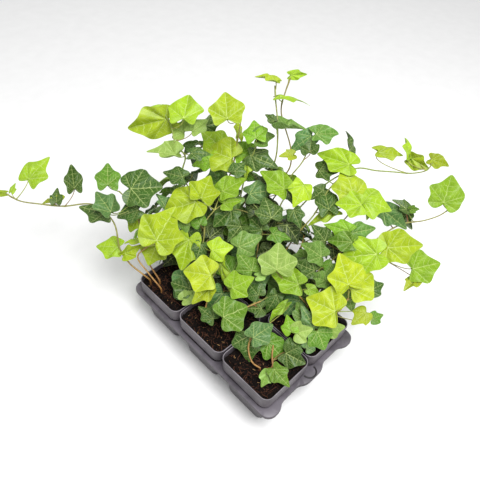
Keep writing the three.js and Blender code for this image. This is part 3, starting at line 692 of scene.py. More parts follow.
def fibre(bm, x, y):
    """A root fibre that lies on the compost in a loose bend, inside the pot's wall."""
    start = soil_spot(x, y, 5)
    heading = luck.uniform(0, 2 * math.pi)
    length = ranged(FIBRE_LENGTHS, luck.random() ** 2)
    bend = luck.uniform(-0.8, 0.8)
    inside = SOIL_HALF - FIBRE_ROOM
    line = []
    for step in range(FIBRE_STEPS + 1):
        turn = heading + bend * step / 2
        at = start + Vector((math.cos(turn), math.sin(turn), 0)) * (length * step / FIBRE_STEPS)
        at.x = x + clamped(at.x - x, inside) + 0.1 * step
        at.y = y + clamped(at.y - y, inside) + 0.1 * step
        rise = luck.uniform(0.5, 2)
        line.append(Vector((at.x, at.y, soil_height(at.x, at.y) + rise)))
    radius = luck.uniform(0.24, 0.5)
    tube(bm, line, [radius] * FIBRE_STEPS + [radius / 3], 4)


def bark_bit(bm, x, y):
    """A flat splinter of pale bark."""
    spot = soil_spot(x, y, 5)
    shape = (
        Matrix.Translation(spot + Vector((0, 0, 0.7)))
        @ Matrix.Rotation(luck.uniform(0, 2 * math.pi), 4, "Z")
        @ Matrix.Rotation(luck.uniform(-0.5, 0.5), 4, "X")
        @ Matrix.Diagonal((luck.uniform(2.2, 3.7), 0.7, 0.35, 1))
    )
    bmesh.ops.create_icosphere(bm, subdivisions=1, radius=luck.uniform(0.5, 0.9), matrix=shape)


for column, row in pots:
    x, y = pot_middle(column, row)
    bm = soil_bed(x, y)
    scatter = [(crumb, DARK_CRUMBS), (crumb, RUSTY_CRUMBS), (fibre, FIBRES), (bark_bit, BITS)]
    for material_index, (make, count) in enumerate(scatter):
        for start in range(0, count, BATCH):
            batch = bmesh.new()
            for _ in range(min(BATCH, count - start)):
                make(batch, x, y)
            pour(bm, batch, material_index)
    name = f"soil_{column}_{row}"
    triangles = hand_over(
        bm, name + "_bed", [name],
        [damp_peat, rusty_peat, root_fibre, straw_bit], 60,
    )
print("six beds of", triangles, "triangles each")

# %% [markdown]
# An ivy leaf has a thick, waxy skin. Its upper face is smooth with a soft shine, its veins are
# pale and a little sunk, and the soft tissue between them swells. Every vertex of a blade
# carries two attributes for this. leaf_place says where it lies on a leaf that is pulled out to
# a round disc: the five main veins then stand 60 degrees apart on every leaf, whatever its
# outline. leaf_tone is the leaf's own green, because young leaves are yellow and old ones dark.

# %% The pattern of veins
VEIN_DRIFT = 0.11                # how far the veins wander, in parts of the leaf's reach
VEIN_TURN = 60                   # degrees from one main vein to the next on the disc
SIDE_VEIN_STEP = 0.19            # between side veins, in parts of the leaf's reach
SIDE_VEIN_SLANT = 0.85


def vein_pattern(material):
    """Shares of main vein, side vein and margin at a point of the blade, and its own place."""
    place = add_node(material, "TexCoord", {})["Object"]
    disc = add_node(material, "Attribute", {}, attribute_name="leaf_place")["Vector"]
    drift = add_node(
        material, "TexNoise", {"Vector": place, "Scale": grain(7), "Detail": 2}
    )["Color"]
    centred = add_node(material, "VectorMath", {0: drift, 1: (0.5, 0.5, 0.5)}, operation="SUBTRACT")[0]
    shift = add_node(
        material, "VectorMath", {0: centred, 1: (VEIN_DRIFT, VEIN_DRIFT, 0)}, operation="MULTIPLY"
    )[0]
    moved = add_node(material, "VectorMath", {0: disc, 1: shift}, operation="ADD")[0]
    along, across = add_node(material, "SeparateXYZ", {0: moved})[:2]
    one_side = add_node(material, "Math", {0: across}, operation="ABSOLUTE")[0]
    folded = add_node(material, "CombineXYZ", {0: along, 1: one_side})[0]
    turn = math.radians(VEIN_TURN)
    reach = along
    for step in (1, 2):
        direction = (math.cos(step * turn), math.sin(step * turn), 0)
        other = add_node(
            material, "VectorMath", {0: folded, 1: direction}, operation="DOT_PRODUCT"
        )["Value"]
        reach = add_node(material, "Math", {0: reach, 1: other}, operation="MAXIMUM")[0]
    far = add_node(material, "VectorMath", {0: folded}, operation="LENGTH")["Value"]
    far_square = add_node(material, "Math", {0: far, 1: far}, operation="MULTIPLY")[0]
    reach_square = add_node(material, "Math", {0: reach, 1: reach}, operation="MULTIPLY")[0]
    gap = add_node(material, "Math", {0: far_square, 1: reach_square}, operation="SUBTRACT")[0]
    gap = add_node(material, "Math", {0: gap, 1: 0.0}, operation="MAXIMUM")[0]
    aside = add_node(material, "Math", {0: gap}, operation="SQRT")[0]

    width = add_node(material, "MapRange", {0: reach, 1: 0, 2: 1, 3: 0.018, 4: 0.006})[0]
    ratio = add_node(material, "Math", {0: aside, 1: width}, operation="DIVIDE")[0]
    main = add_node(
        material, "MapRange", {0: ratio, 1: 1.15, 2: 0.4}, interpolation_type="SMOOTHSTEP"
    )[0]
    halo = add_node(material, "MapRange", {0: ratio, 1: 6.0, 2: 0.8, 4: 0.09})[0]

    back = add_node(material, "Math", {0: aside, 1: SIDE_VEIN_SLANT}, operation="MULTIPLY")[0]
    phase = add_node(material, "Math", {0: reach, 1: back}, operation="SUBTRACT")[0]
    phase = add_node(material, "Math", {0: phase, 1: SIDE_VEIN_STEP}, operation="DIVIDE")[0]
    near = add_node(material, "Math", {0: phase, 1: 0.5}, operation="PINGPONG")[0]
    side = add_node(
        material, "MapRange", {0: near, 1: 0.08, 2: 0.02}, interpolation_type="SMOOTHSTEP"
    )[0]
    fading = add_node(material, "MapRange", {0: far, 1: 0.72, 2: 0.97, 3: 1, 4: 0.15})[0]
    side = add_node(material, "Math", {0: side, 1: fading}, operation="MULTIPLY")[0]
    margin = add_node(material, "MapRange", {0: far, 1: 0.955, 2: 0.985})[0]
    return place, main, halo, side, margin


print("main veins every", VEIN_TURN, "degrees and side veins every", SIDE_VEIN_STEP)

# %% [markdown]
# The waxy upper face takes its green from the leaf and breaks it up three times: a cloudy
# change over a centimetre, a faint net of tiny veins with meshes of two or three millimetres,
# and the pale main and side veins. The same pattern drives the relief, so colour and shape
# agree.

# %% Leaf materials
def leaf_face(name, cloud_share, pale, vein_shares, gloss, relief):
    """One face of the ivy leaf. vein_shares are for main veins, side veins and the fine net."""
    material, shader = new_material(name)
    place, main, halo, side, margin = vein_pattern(material)
    tone = add_node(material, "Attribute", {}, attribute_name="leaf_tone")["Color"]
    cloud = add_node(
        material, "TexNoise", {"Vector": place, "Scale": grain(11), "Detail": 3}
    )["Fac"]
    cloudy = add_node(
        material, "MapRange", {0: cloud, 1: 0.35, 2: 0.65, 4: cloud_share},
        interpolation_type="SMOOTHSTEP",
    )[0]
    deeper = add_node(
        material, "Mix", {0: cloudy, 6: tone, 7: linear("#a9bd7a")}, data_type="RGBA",
        blend_type="MULTIPLY",
    )[2]
    cells = add_node(
        material, "TexVoronoi", {"Vector": place, "Scale": grain(2.6)}, feature="DISTANCE_TO_EDGE"
    )["Distance"]
    net = add_node(material, "MapRange", {0: cells, 1: 0.13, 2: 0.02, 4: vein_shares[2]})[0]
    side_share = add_node(material, "Math", {0: side, 1: vein_shares[1]}, operation="MULTIPLY")[0]
    main_share = add_node(material, "Math", {0: main, 1: vein_shares[0]}, operation="MULTIPLY")[0]
    edge_share = add_node(material, "Math", {0: margin, 1: 0.1}, operation="MULTIPLY")[0]
    veins = main_share
    for other in (side_share, edge_share, net, halo):
        veins = add_node(material, "Math", {0: veins, 1: other}, operation="MAXIMUM")[0]
    colour = add_node(
        material, "Mix", {0: veins, 6: deeper, 7: linear(pale)}, data_type="RGBA"
    )[2]
    main_depth = add_node(material, "Math", {0: main, 1: -0.7, 2: 1}, operation="MULTIPLY_ADD")[0]
    height = add_node(
        material, "Math", {0: side, 1: -0.4, 2: main_depth}, operation="MULTIPLY_ADD"
    )[0]
    height = add_node(material, "Math", {0: net, 1: -0.5, 2: height}, operation="MULTIPLY_ADD")[0]
    carved = add_node(
        material, "Bump", {"Height": height, "Distance": relief * MM, "Strength": 0.8}
    )["Normal"]
    waxy = add_node(material, "MapRange", {0: cloud, 3: gloss - 0.08, 4: gloss + 0.1})[0]
    feed(shader, {
        "Base Color": colour, "Normal": carved, "Roughness": waxy, "IOR": 1.42,
        "Specular IOR Level": 0.4,
    })
    return material


waxy_leaf = leaf_face("waxy_upper_face_of_ivy_leaf", 0.35, "#dcea98", (0.58, 0.4, 0.12), 0.38, 0.45)
matt_leaf = leaf_face("matt_underside_of_ivy_leaf", 0.2, "#dfe8b8", (0.6, 0.4, 0.12), 0.62, -0.3)
print("leaf materials:", waxy_leaf.name, "and", matt_leaf.name)

# %% [markdown]
# Stems turn from soft green to thin brown bark as they age, and leaf stalks are yellow-green
# or flushed red. That colour changes along one stem, so it's an attribute too, set ring by
# ring. The material adds the fine streaks that run along the bark, and small corky spots.

# %% Stem material
stem_bark, bark_shader = new_material("ivy_stem_bark")    # satin and finely streaked
place = add_node(stem_bark, "TexCoord", {})["Object"]
tone = add_node(stem_bark, "Attribute", {}, attribute_name="leaf_tone")["Color"]
blotch = add_node(
    stem_bark, "TexNoise", {"Vector": place, "Scale": grain(4), "Detail": 4}
)["Fac"]
share = add_node(stem_bark, "MapRange", {0: blotch, 1: 0.42, 2: 0.7, 4: 0.6})[0]
colour = add_node(
    stem_bark, "Mix", {0: share, 6: tone, 7: linear("#5d3b22")}, data_type="RGBA"
)[2]
streak = add_node(
    stem_bark, "TexNoise", {"Vector": place, "Scale": grain(0.7), "Detail": 2}
)["Fac"]
ridged = add_node(
    stem_bark, "Bump", {"Height": streak, "Distance": 0.12 * MM, "Strength": 0.7}
)["Normal"]
feed(bark_shader, {"Base Color": colour, "Normal": ridged, "Roughness": 0.55})
print("stem material:", stem_bark.name)

# %% [markdown]
# Now the vines. Each has the place of its foot in the compost, the way its leaves face (a
# compass heading and a lean from upright, in degrees), the points that its stem passes through,
# and its leaves. A leaf's row is the end of its stalk, its length and width, the heading of its
# tip, and where needed a roll and a nod. The last letters give the green of each leaf in turn:
# y yellow, l lime, s soft bright, m mid, p pale, g grey, b bluish, d dark and o olive. Grey and
# bluish are a mature leaf's green with a painted waxy sheen mixed in.
# The last five vines hang over the far sides, and their leaves are placed by a rule.

# %% The vines
SEEN = (220, 32)                 # most leaves face the side that is seen first
VINES = [
    ((-78, 122), (215, 30),
     [(-92, 152, 110), (-97, 165, 135), (-88, 188, 168), (-98, 217, 188), (-130, 255, 178),
      (-152, 280, 178), (-171, 302, 180), (-180, 324, 184)],
     [(-138, 337, 182, 44, 38, 10), (-173, 320, 187, 14, 9, 30), (-180, 326, 184, 18, 10, 132),
      (-134, 262, 184, 22, 18, 50), (-127, 267, 178, 28, 20, 138, 60),
      (-100, 268, 188, 38, 26, 62, 20), (-98, 170, 136, 32, 36, 128),
      (-95, 158, 130, 28, 20, 338, 30)], "llldodll"),
    ((-68, 112), (215, 30),
     [(-64, 150, 105), (-56, 170, 160), (-56, 184, 188), (-62, 205, 202)],
     [(-74, 212, 217, 40, 38, 55, 20), (-49, 194, 206, 46, 62, 322),
      (-92, 183, 196, 40, 34, 88), (-55, 172, 184, 36, 32, 148),
      (-52, 176, 168, 30, 28, 190, 0, 15), (-96, 190, 190, 44, 34, 120)], "mdbdod"),
    ((-76, 98), (220, 34),
     [(-80, 122, 105), (-82, 144, 125), (-66, 138, 142)],
     [(-73, 152, 147, 22, 16, 136, 50), (-62, 120, 165, 52, 62, 15),
      (-55, 132, 140, 30, 38, 200, 0, 20)], "oll"),
    ((15, 120), SEEN,
     [(10, 140, 150), (18, 158, 225), (28, 162, 248), (20, 172, 264), (30, 198, 286),
      (29, 220, 299)],
     [(38, 176, 300, 38, 46, 40), (36, 222, 300, 24, 18, 140, 45),
      (30, 206, 286, 54, 44, 152, -38), (12, 164, 256, 42, 34, 128, 25),
      (6, 142, 233, 32, 28, 122), (42, 182, 272, 22, 34, 112), (46, 166, 281, 30, 28, 2, -10),
      (26, 146, 262, 28, 24, 322)], "lllpdppd"),
    ((-34, 82), SEEN,
     [(-38, 94, 115), (-32, 104, 146), (-22, 106, 166)],
     [(-24, 94, 162, 46, 42, 213), (-14, 104, 178, 28, 30, 92), (-22, 148, 188, 26, 24, 82, 30)], "ogb"),
    ((-58, 66), (225, 28),
     [(-60, 62, 92), (-56, 58, 104)],
     [(-54, 56, 108, 32, 38, 120), (-70, 52, 100, 22, 22, 350), (-38, 66, 116, 26, 26, 350)], "dpd"),
    ((-64, 14), SEEN,
     [(-66, 13, 94), (-50, 22, 116), (-32, 34, 142)],
     [(-37, 32, 148, 38, 48, 128), (-45, 26, 130, 32, 28, 174), (-62, -3, 104, 28, 26, 100),
      (-12, 38, 148, 44, 24, 238, 55)], "yodo"),
    ((-26, 60), SEEN,
     [(-20, 72, 130), (-4, 83, 165), (6, 91, 182), (22, 90, 196)],
     [(6, 114, 205, 48, 50, 148), (14, 110, 210, 34, 42, 25), (-16, 52, 168, 28, 34, 324),
      (42, 96, 217, 38, 34, 340), (36, 86, 203, 26, 24, 325), (-16, 76, 160, 26, 24, 210),
      (-4, 92, 182, 24, 24, 80)], "llyssdm"),
    ((44, 118), SEEN,
     [(60, 122, 170), (82, 118, 225), (100, 128, 262), (110, 134, 290)],
     [(85, 146, 246, 44, 42, 98), (82, 121, 242, 42, 54, 112), (60, 144, 234, 28, 28, 148),
      (94, 122, 240, 38, 36, 352), (76, 128, 308, 36, 46, 54), (108, 135, 262, 28, 18, 42, 50),
      (92, 190, 258, 30, 26, 330, 30)], "llsslld"),
    ((-20, 26), SEEN,
     [(-10, 16, 105), (8, 6, 138), (20, 30, 158)],
     [(-24, 0, 139, 34, 40, 338), (10, -3, 152, 34, 34, 88), (17, 32, 168, 38, 40, 338),
      (14, -12, 145, 20, 16, 330)], "smgp"),
    ((-36, -18), SEEN,
     [(-38, -16, 98), (-26, -24, 114), (0, -34, 120)],
     [(-57, -18, 119, 38, 52, 338), (2, -27, 126, 24, 28, 92), (-3, -40, 112, 24, 26, 136),
      (22, -44, 126, 30, 26, 196)], "mddd"),
    ((-60, -96), SEEN,
     [(-63, -84, 88), (-56, -68, 96), (-44, -60, 104)],
     [(-44, -57, 104, 36, 50, 224), (-46, -66, 112, 34, 34, 346), (16, -66, 131, 34, 14, 170, 35)], "dbs"),
    ((-54, -103), SEEN,
     [(-49, -107, 88), (-38, -96, 94), (-28, -88, 99)],
     [(-30, -80, 100, 34, 40, 277), (-24, -108, 99, 30, 32, 291), (-14, -108, 96, 26, 28, 358),
      (-55, -114, 102, 30, 26, 272), (-62, -110, 94, 20, 20, 200)], "mddmp"),
    ((18, -104), SEEN,
     [(14, -100, 92), (14, -104, 102)],
     [(4, -100, 110, 24, 30, 328), (0, -94, 112, 24, 26, 66), (4, -122, 98, 18, 20, 346)], "psb"),
    ((32, -112), SEEN,
     [(33, -112, 92), (34, -114, 104)],
     [(29, -111, 112, 34, 30, 80), (28, -118, 109, 28, 42, 258), (42, -122, 106, 28, 28, 322)], "bmp"),
    ((56, -108), SEEN,
     [(60, -112, 100), (74, -120, 120), (88, -120, 136)],
     [(56, -121, 135, 40, 54, 113), (92, -112, 155, 42, 48, 66), (94, -118, 149, 40, 50, 346),
      (119, -134, 141, 24, 28, 338), (94, -149, 125, 26, 28, 170), (98, -160, 118, 20, 20, 335)], "yyydom"),
    ((48, -82), SEEN,
     [(54, -80, 104), (46, -66, 124), (38, -50, 142)],
     [(44, -62, 148, 42, 38, 116), (34, -28, 158, 38, 54, 42), (52, -74, 142, 20, 18, 300)], "sps"),
    ((66, -64), SEEN,
     [(70, -68, 110), (78, -70, 138), (94, -58, 156)],
     [(81, -84, 144, 27, 24, 114), (78, -62, 152, 32, 32, 118), (95, -58, 166, 34, 34, 107),
      (102, -74, 158, 22, 24, 186)], "gdgm"),
    ((34, 16), SEEN,
     [(46, 20, 130), (62, 34, 162), (78, 44, 186)],
     [(75, 26, 194, 34, 44, 64), (78, 74, 206, 42, 36, 326), (46, 80, 188, 36, 38, 175),
      (44, 56, 174, 30, 32, 184), (64, 32, 172, 28, 30, 92)], "dbddd"),
    ((60, 22), SEEN,
     [(84, 26, 140), (104, 36, 190), (122, 36, 214)],
     [(111, 38, 221, 44, 38, 104), (134, 22, 226, 32, 36, 202), (110, 14, 196, 28, 28, 250)], "syd"),
    ((76, 112), (215, 26),
     [(104, 96, 180), (122, 72, 242), (128, 80, 300), (146, 104, 322), (155, 116, 336)],
     [(156, 116, 342, 28, 26, 118, 35), (126, 86, 305, 16, 14, 98),
      (124, 76, 300, 40, 34, 315, -48)], "ldg"),
    ((78, 97), (215, 26),
     [(112, 80, 180), (134, 52, 238), (144, 62, 262), (154, 98, 306), (168, 106, 326),
      (179, 109, 343)],
     [(181, 110, 346, 22, 14, 317, 45), (152, 102, 326, 40, 32, 317, -35),
      (134, 50, 264, 20, 18, 140)], "llo"),
    ((74, 62), SEEN,
     [(100, 58, 170), (132, 46, 228), (152, 42, 252), (170, 50, 270)],
     [(176, 54, 277, 38, 34, 168), (180, 48, 281, 36, 32, 323), (160, 39, 263, 22, 28, 38, -30)], "bgd"),
    ((78, 8), SEEN,
     [(110, 2, 150), (136, -6, 186), (166, -2, 214), (196, -6, 236)],
     [(146, -22, 202, 42, 36, 57), (164, 4, 212, 26, 24, 168), (155, -29, 196, 44, 22, 146, 40),
      (172, 24, 232, 30, 32, 316), (200, -6, 249, 46, 36, 116), (222, 10, 254, 32, 30, 57, 55)], "ddodld"),
    ((78, -22), SEEN,
     [(112, -34, 140), (150, -44, 184), (172, -48, 208)],
     [(177, -40, 222, 46, 52, 64), (184, -52, 219, 44, 48, 306), (174, -56, 218, 34, 36, 132),
      (190, -64, 210, 18, 18, 211)], "llly"),
    ((76, 30), (222, 34),
     [(122, 26, 160), (172, 12, 210), (222, -8, 231), (250, -28, 225), (280, -44, 217),
      (312, -60, 208), (345, -70, 204), (370, -66, 205)],
     [(307, 2, 216, 40, 32, 319, -25), (340, -36, 213, 34, 26, 43, 45),
      (342, -40, 211, 30, 26, 289, 40), (374, -61, 206, 30, 26, 296)], "lllo"),
    ((78, -68), (222, 34),
     [(120, -72, 118), (180, -82, 145), (246, -98, 164), (272, -120, 172), (294, -132, 178),
      (311, -136, 182)],
     [(258, -92, 185, 26, 24, 106, 20), (262, -96, 184, 16, 12, 320),
      (310, -125, 191, 46, 56, 26), (326, -133, 186, 18, 14, 335), (237, -66, 176, 46, 36, 282),
      (270, -88, 169, 30, 24, 250, 45)], "dmslbd"),
    ((74, -86), SEEN,
     [(104, -92, 122), (138, -104, 150), (164, -120, 162)],
     [(149, -112, 177, 48, 50, 141), (168, -118, 182, 46, 46, 319),
      (176, -160, 167, 40, 48, 325), (171, -172, 158, 26, 20, 175, 30)], "llso"),
    ((72, -31), SEEN,
     [(104, -58, 130), (130, -68, 158), (142, -70, 172)],
     [(137, -77, 182, 35, 30, 130), (158, -72, 187, 24, 22, 156), (145, -64, 188, 37, 30, 122),
      (147, -68, 187, 38, 32, 326), (118, -45, 175, 30, 32, 90)], "mosgd"),
    ((58, 84), SEEN,
     [(74, 92, 160), (92, 98, 226), (108, 98, 264)],
     [(104, 97, 281, 32, 38, 56), (110, 99, 276, 26, 30, 326), (100, 100, 251, 44, 36, 295),
      (96, 102, 241, 28, 20, 214, 30), (66, 97, 240, 24, 26, 4)], "sgdod"),
    ((66, 122), (45, 38),
     [(88, 162, 176), (104, 196, 200), (118, 216, 168)], 6, "mdgmsd"),
    ((28, 104), (90, 40),
     [(36, 150, 150), (48, 184, 170), (54, 208, 130)], 6, "gmdsmg"),
    ((-22, 118), (100, 40),
     [(-12, 152, 120), (-8, 178, 134), (-14, 198, 98)], 6, "dmgmds"),
    ((77, 79), (10, 40),
     [(130, 92, 156), (168, 102, 170), (192, 104, 122)], 7, "mgsdmgd"),
    ((80, -8), (0, 42),
     [(112, -8, 106), (142, 6, 128), (168, 24, 88)], 6, "gdmsmd"),]
print(len(VINES), "vines")

# %% [markdown]
# A stem is a smooth curve through its points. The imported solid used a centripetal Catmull-Rom
# curve, which doesn't overshoot where two points are close, so the same curve is used here:
# each piece is turned into one cubic whose slopes depend on how far apart its points are.

# %% The curve of a stem
ROOT_DEPTH = 26
STEM_STEP = 36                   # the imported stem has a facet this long
FINE_STEP = 5


def knot(a, b):
    """The spacing between two points of the curve."""
    return (a - b).length ** 0.5


def curve_point(points, t):
    """The point at t, from 0 to 1, on a smooth curve through points."""
    place = (len(points) - 1) * t
    k = math.floor(place)
    weight = place - k
    if k >= len(points) - 1:
        k, weight = len(points) - 2, 1.0
    p1, p2 = points[k], points[k + 1]
    p0 = points[k - 1] if k > 0 else 2 * points[0] - points[1]
    p3 = points[k + 2] if k + 2 < len(points) else 2 * points[-1] - points[-2]
    d0, d1, d2 = knot(p0, p1), knot(p1, p2), knot(p2, p3)
    leave = ((p1 - p0) / d0 - (p2 - p0) / (d0 + d1) + (p2 - p1) / d1) * d1
    reach = ((p2 - p1) / d1 - (p3 - p1) / (d1 + d2) + (p3 - p2) / d2) * d1
    square = (-3 * p1 + 3 * p2 - 2 * leave - reach)
    cube = (2 * p1 - 2 * p2 + leave + reach)
    return p1 + leave * weight + square * weight ** 2 + cube * weight ** 3


def stem_points(vine):
    """The points that a stem passes through, upright where it leaves the compost."""
    (x, y), _, stem = vine[:3]
    return [Vector((x, y, SOIL_TOP + 2)), Vector((x, y, SOIL_TOP + 6))] + [Vector(p) for p in stem]


def spaced(points, steps):
    """Points at even distances along the curve, and its length."""
    table = [curve_point(points, k / 200) for k in range(201)]
    lengths = [0.0]
    for a, b in zip(table, table[1:]):
        lengths.append(lengths[-1] + (b - a).length)
    found = []
    k = 0
    for step in range(steps + 1):
        target = lengths[-1] * step / steps
        while k < 199 and lengths[k + 1] < target:
            k += 1
        t = (k + (target - lengths[k]) / (lengths[k + 1] - lengths[k])) / 200
        found.append(curve_point(points, min(t, 1)))
    return found, lengths[-1]


print("the first stem is", round(spaced(stem_points(VINES[0]), 10)[1]), "mm long")

# %% [markdown]
# A leaf hangs in a frame of its own: an axis from the stalk to the tip, a side and a face
# upwards. The frame is worked out from the vine's way of facing and the leaf's heading, then
# tilted a little by chance, because no two leaves on a real plant catch the light alike.
# Leaves that would cross are then pushed apart along their faces, a little in each round.

# %% The frame of each leaf
TILT_SPREAD = 12
SAME_VINE_GAP = 1.5
LEAF_GAP = 3.5
SETTLE_ROUNDS = 40
SETTLE_SHARE = 0.3
LEAF_MIDDLE = 0.38
TILT_ROOM = 0.45
GROWN_SPREADS = (35, 35)         # how far a far vine's leaf stands out to the side, in degrees
GROWN_REACHES = (16, 10)
GROWN_SIZE = 44
GROWN_TAPER = 16                 # how much smaller the leaves are at the tip
GROWN_UNEVEN = 6
GROWN_RISES = (10, 4)
GROWN_WIDTH = 1.1                # in parts of its length
GROWN_TURN = 20                  # how far its tip turns back towards the stem's own heading
GROWN_NOD = 10


def facing(face):
    """The direction of a face that is turned round by one angle and leans by another."""
    around, lean = (math.radians(turn) for turn in face)
    return Vector((
        math.sin(lean) * math.cos(around), math.sin(lean) * math.sin(around), math.cos(lean)
    ))


def leaf_frame(number, face, row, tone):
    """A leaf as a dict with its frame and size."""
    x, y, z, length, width, heading, roll, nod = tuple(row) + (0, 0)[: 8 - len(row)]
    heading = math.radians(heading)
    normal = facing(face)
    axis = Vector((math.cos(heading), math.sin(heading), 0))
    axis.z = -(axis.x * normal.x + axis.y * normal.y) / normal.z
    axis.normalize()
    roll += TILT_SPREAD * (2 * draw(x, y, z, 1) - 1)
    nod += TILT_SPREAD * (2 * draw(x, y, z, 2) - 1)
    normal = Matrix.Rotation(math.radians(roll), 3, axis) @ normal
    side = normal.cross(axis).normalized()
    nodded = Matrix.Rotation(math.radians(nod), 3, side)
    return {
        "vine": number, "base": Vector((x, y, z)), "length": length, "width": width,
        "axis": nodded @ axis, "side": side, "normal": nodded @ normal, "tone": tone,
        "seed": (x, y, z),
    }


def grown_rows(vine):
    """Rows for a far vine: leaves left and right of the stem in turn, smaller to its tip."""
    (x, y), face, _, count, _ = vine
    points = stem_points(vine)
    rows = []
    for k in range(count):
        at = curve_point(points, 0.5 + 0.5 * k / (count - 1))
        side = 1 if k % 2 else -1
        heading = face[0] + side * ranged(GROWN_SPREADS, draw(x, y, k, 1))
        reach = ranged(GROWN_REACHES, draw(x, y, k, 2))
        size = GROWN_SIZE - GROWN_TAPER * k / count + GROWN_UNEVEN * draw(x, y, k, 3)
        rows.append((
            at.x + reach * math.cos(math.radians(heading)),
            at.y + reach * math.sin(math.radians(heading)),
            at.z + ranged(GROWN_RISES, draw(x, y, k, 4)),
            size, size * GROWN_WIDTH, heading - side * GROWN_TURN, 0, GROWN_NOD,
        ))
    return rows


def middle_of(leaf):
    """The middle of a blade."""
    return leaf["base"] + leaf["axis"] * LEAF_MIDDLE * leaf["length"]


def radius_of(leaf):
    """How far a blade reaches from its middle."""
    return 0.5 * max(leaf["width"], leaf["length"])


def meeting(a, b, between):
    """The way two leaves face together, how far b lies along it and aside of it, and their tilt."""
    shared = (a["normal"] + b["normal"]).normalized()
    height = between.dot(shared)
    apart = math.sqrt(max(0, between.length_squared - height * height))
    tilt = math.sqrt(max(0, 1 - a["normal"].dot(b["normal"]) ** 2))
    return shared, height, apart, tilt


def settle(leaves):
    """Moves leaves that would cross apart, along the way they face."""
    for _ in range(SETTLE_ROUNDS):
        for i, a in enumerate(leaves):
            for b in leaves[i + 1:]:
                between = middle_of(b) - middle_of(a)
                radius_a, radius_b = radius_of(a), radius_of(b)
                if between.length > radius_a + radius_b:
                    continue
                shared, height, apart, tilt = meeting(a, b, between)
                smaller = min(radius_a, radius_b)
                overlap = min(1, (radius_a + radius_b - apart) / smaller)
                gap = SAME_VINE_GAP if a["vine"] == b["vine"] else LEAF_GAP
                short = overlap * (gap + TILT_ROOM * tilt * smaller) - abs(height)
                if short > 0:
                    push = SETTLE_SHARE * short * (-1 if height < 0 else 1)
                    a["base"] = a["base"] - shared * push
                    b["base"] = b["base"] + shared * push


leaves = []
for number, vine in enumerate(VINES):
    rows = vine[3] if isinstance(vine[3], list) else grown_rows(vine)
    leaves += [leaf_frame(number, vine[1], row, tone) for row, tone in zip(rows, vine[4])]
settle(leaves)
print(len(leaves), "leaves, the highest at", round(max(leaf["base"].z for leaf in leaves)), "mm")

# %% [markdown]
# Irish ivy has three to five broad lobes, a heart-shaped base and shallow hollows between the
# lobes. Half an outline is written down for each of three sizes, from the tip round to the
# notch at the stalk, as shares of the leaf's length and width, and the other half mirrors it.
# A smooth line is drawn through those points. The notch gets the shortest handles and stays
# pointed, the tip gets short ones, and the lobes and hollows get long ones and come out round.

# %% Leaf outlines
HALF_OUTLINES = {
    "full": [(1, 0, -0.1), (0.6, 0.28, 0.02), (0.43, 0.5, -0.06), (0.12, 0.425, 0.03),
             (-0.13, 0.4, -0.04), (-0.28, 0.2, -0.03), (-0.07, 0, 0)],
    "middle": [(1, 0, -0.1), (0.58, 0.27, 0.02), (0.41, 0.5, -0.06), (0.1, 0.42, 0.03),
               (-0.22, 0.31, -0.04), (-0.06, 0, 0)],
    "small": [(1, 0, -0.08), (0.52, 0.28, 0.02), (0.36, 0.5, -0.04), (-0.22, 0.33, -0.02),
              (-0.06, 0, 0)],
}
LOBES = {"full": (0, 2, 4, 6), "middle": (0, 2, 4, 5), "small": (0, 2, 3, 4)}
SPAN_POINTS = 7
SMALL_LEAF = 27
LARGE_LEAF = 45
YOUNG = "yls"                    # young leaves have sharper lobes
BRIGHT = "yl"
BRIGHT_SIZE = 1.09               # the bright outermost leaves are a little larger than packed
UNEVEN = 0.03                    # how far a corner strays, in parts of the leaf's length
ROUNDNESS = (0.85, 1.45, 1.6, 0.35)    # of tip, side lobe, base lobe and notch
HOLLOW_ROUNDNESS = 1.15
YOUNG_ROUNDNESS = 0.75           # all but the hollows are sharper by this on a young leaf
OLD_ROUNDNESS = 1.1
ON_BOUND = 1e-6
FULLNESS = (-0.15, 0.45)         # how far the hollows fill out, leanest leaf to fullest


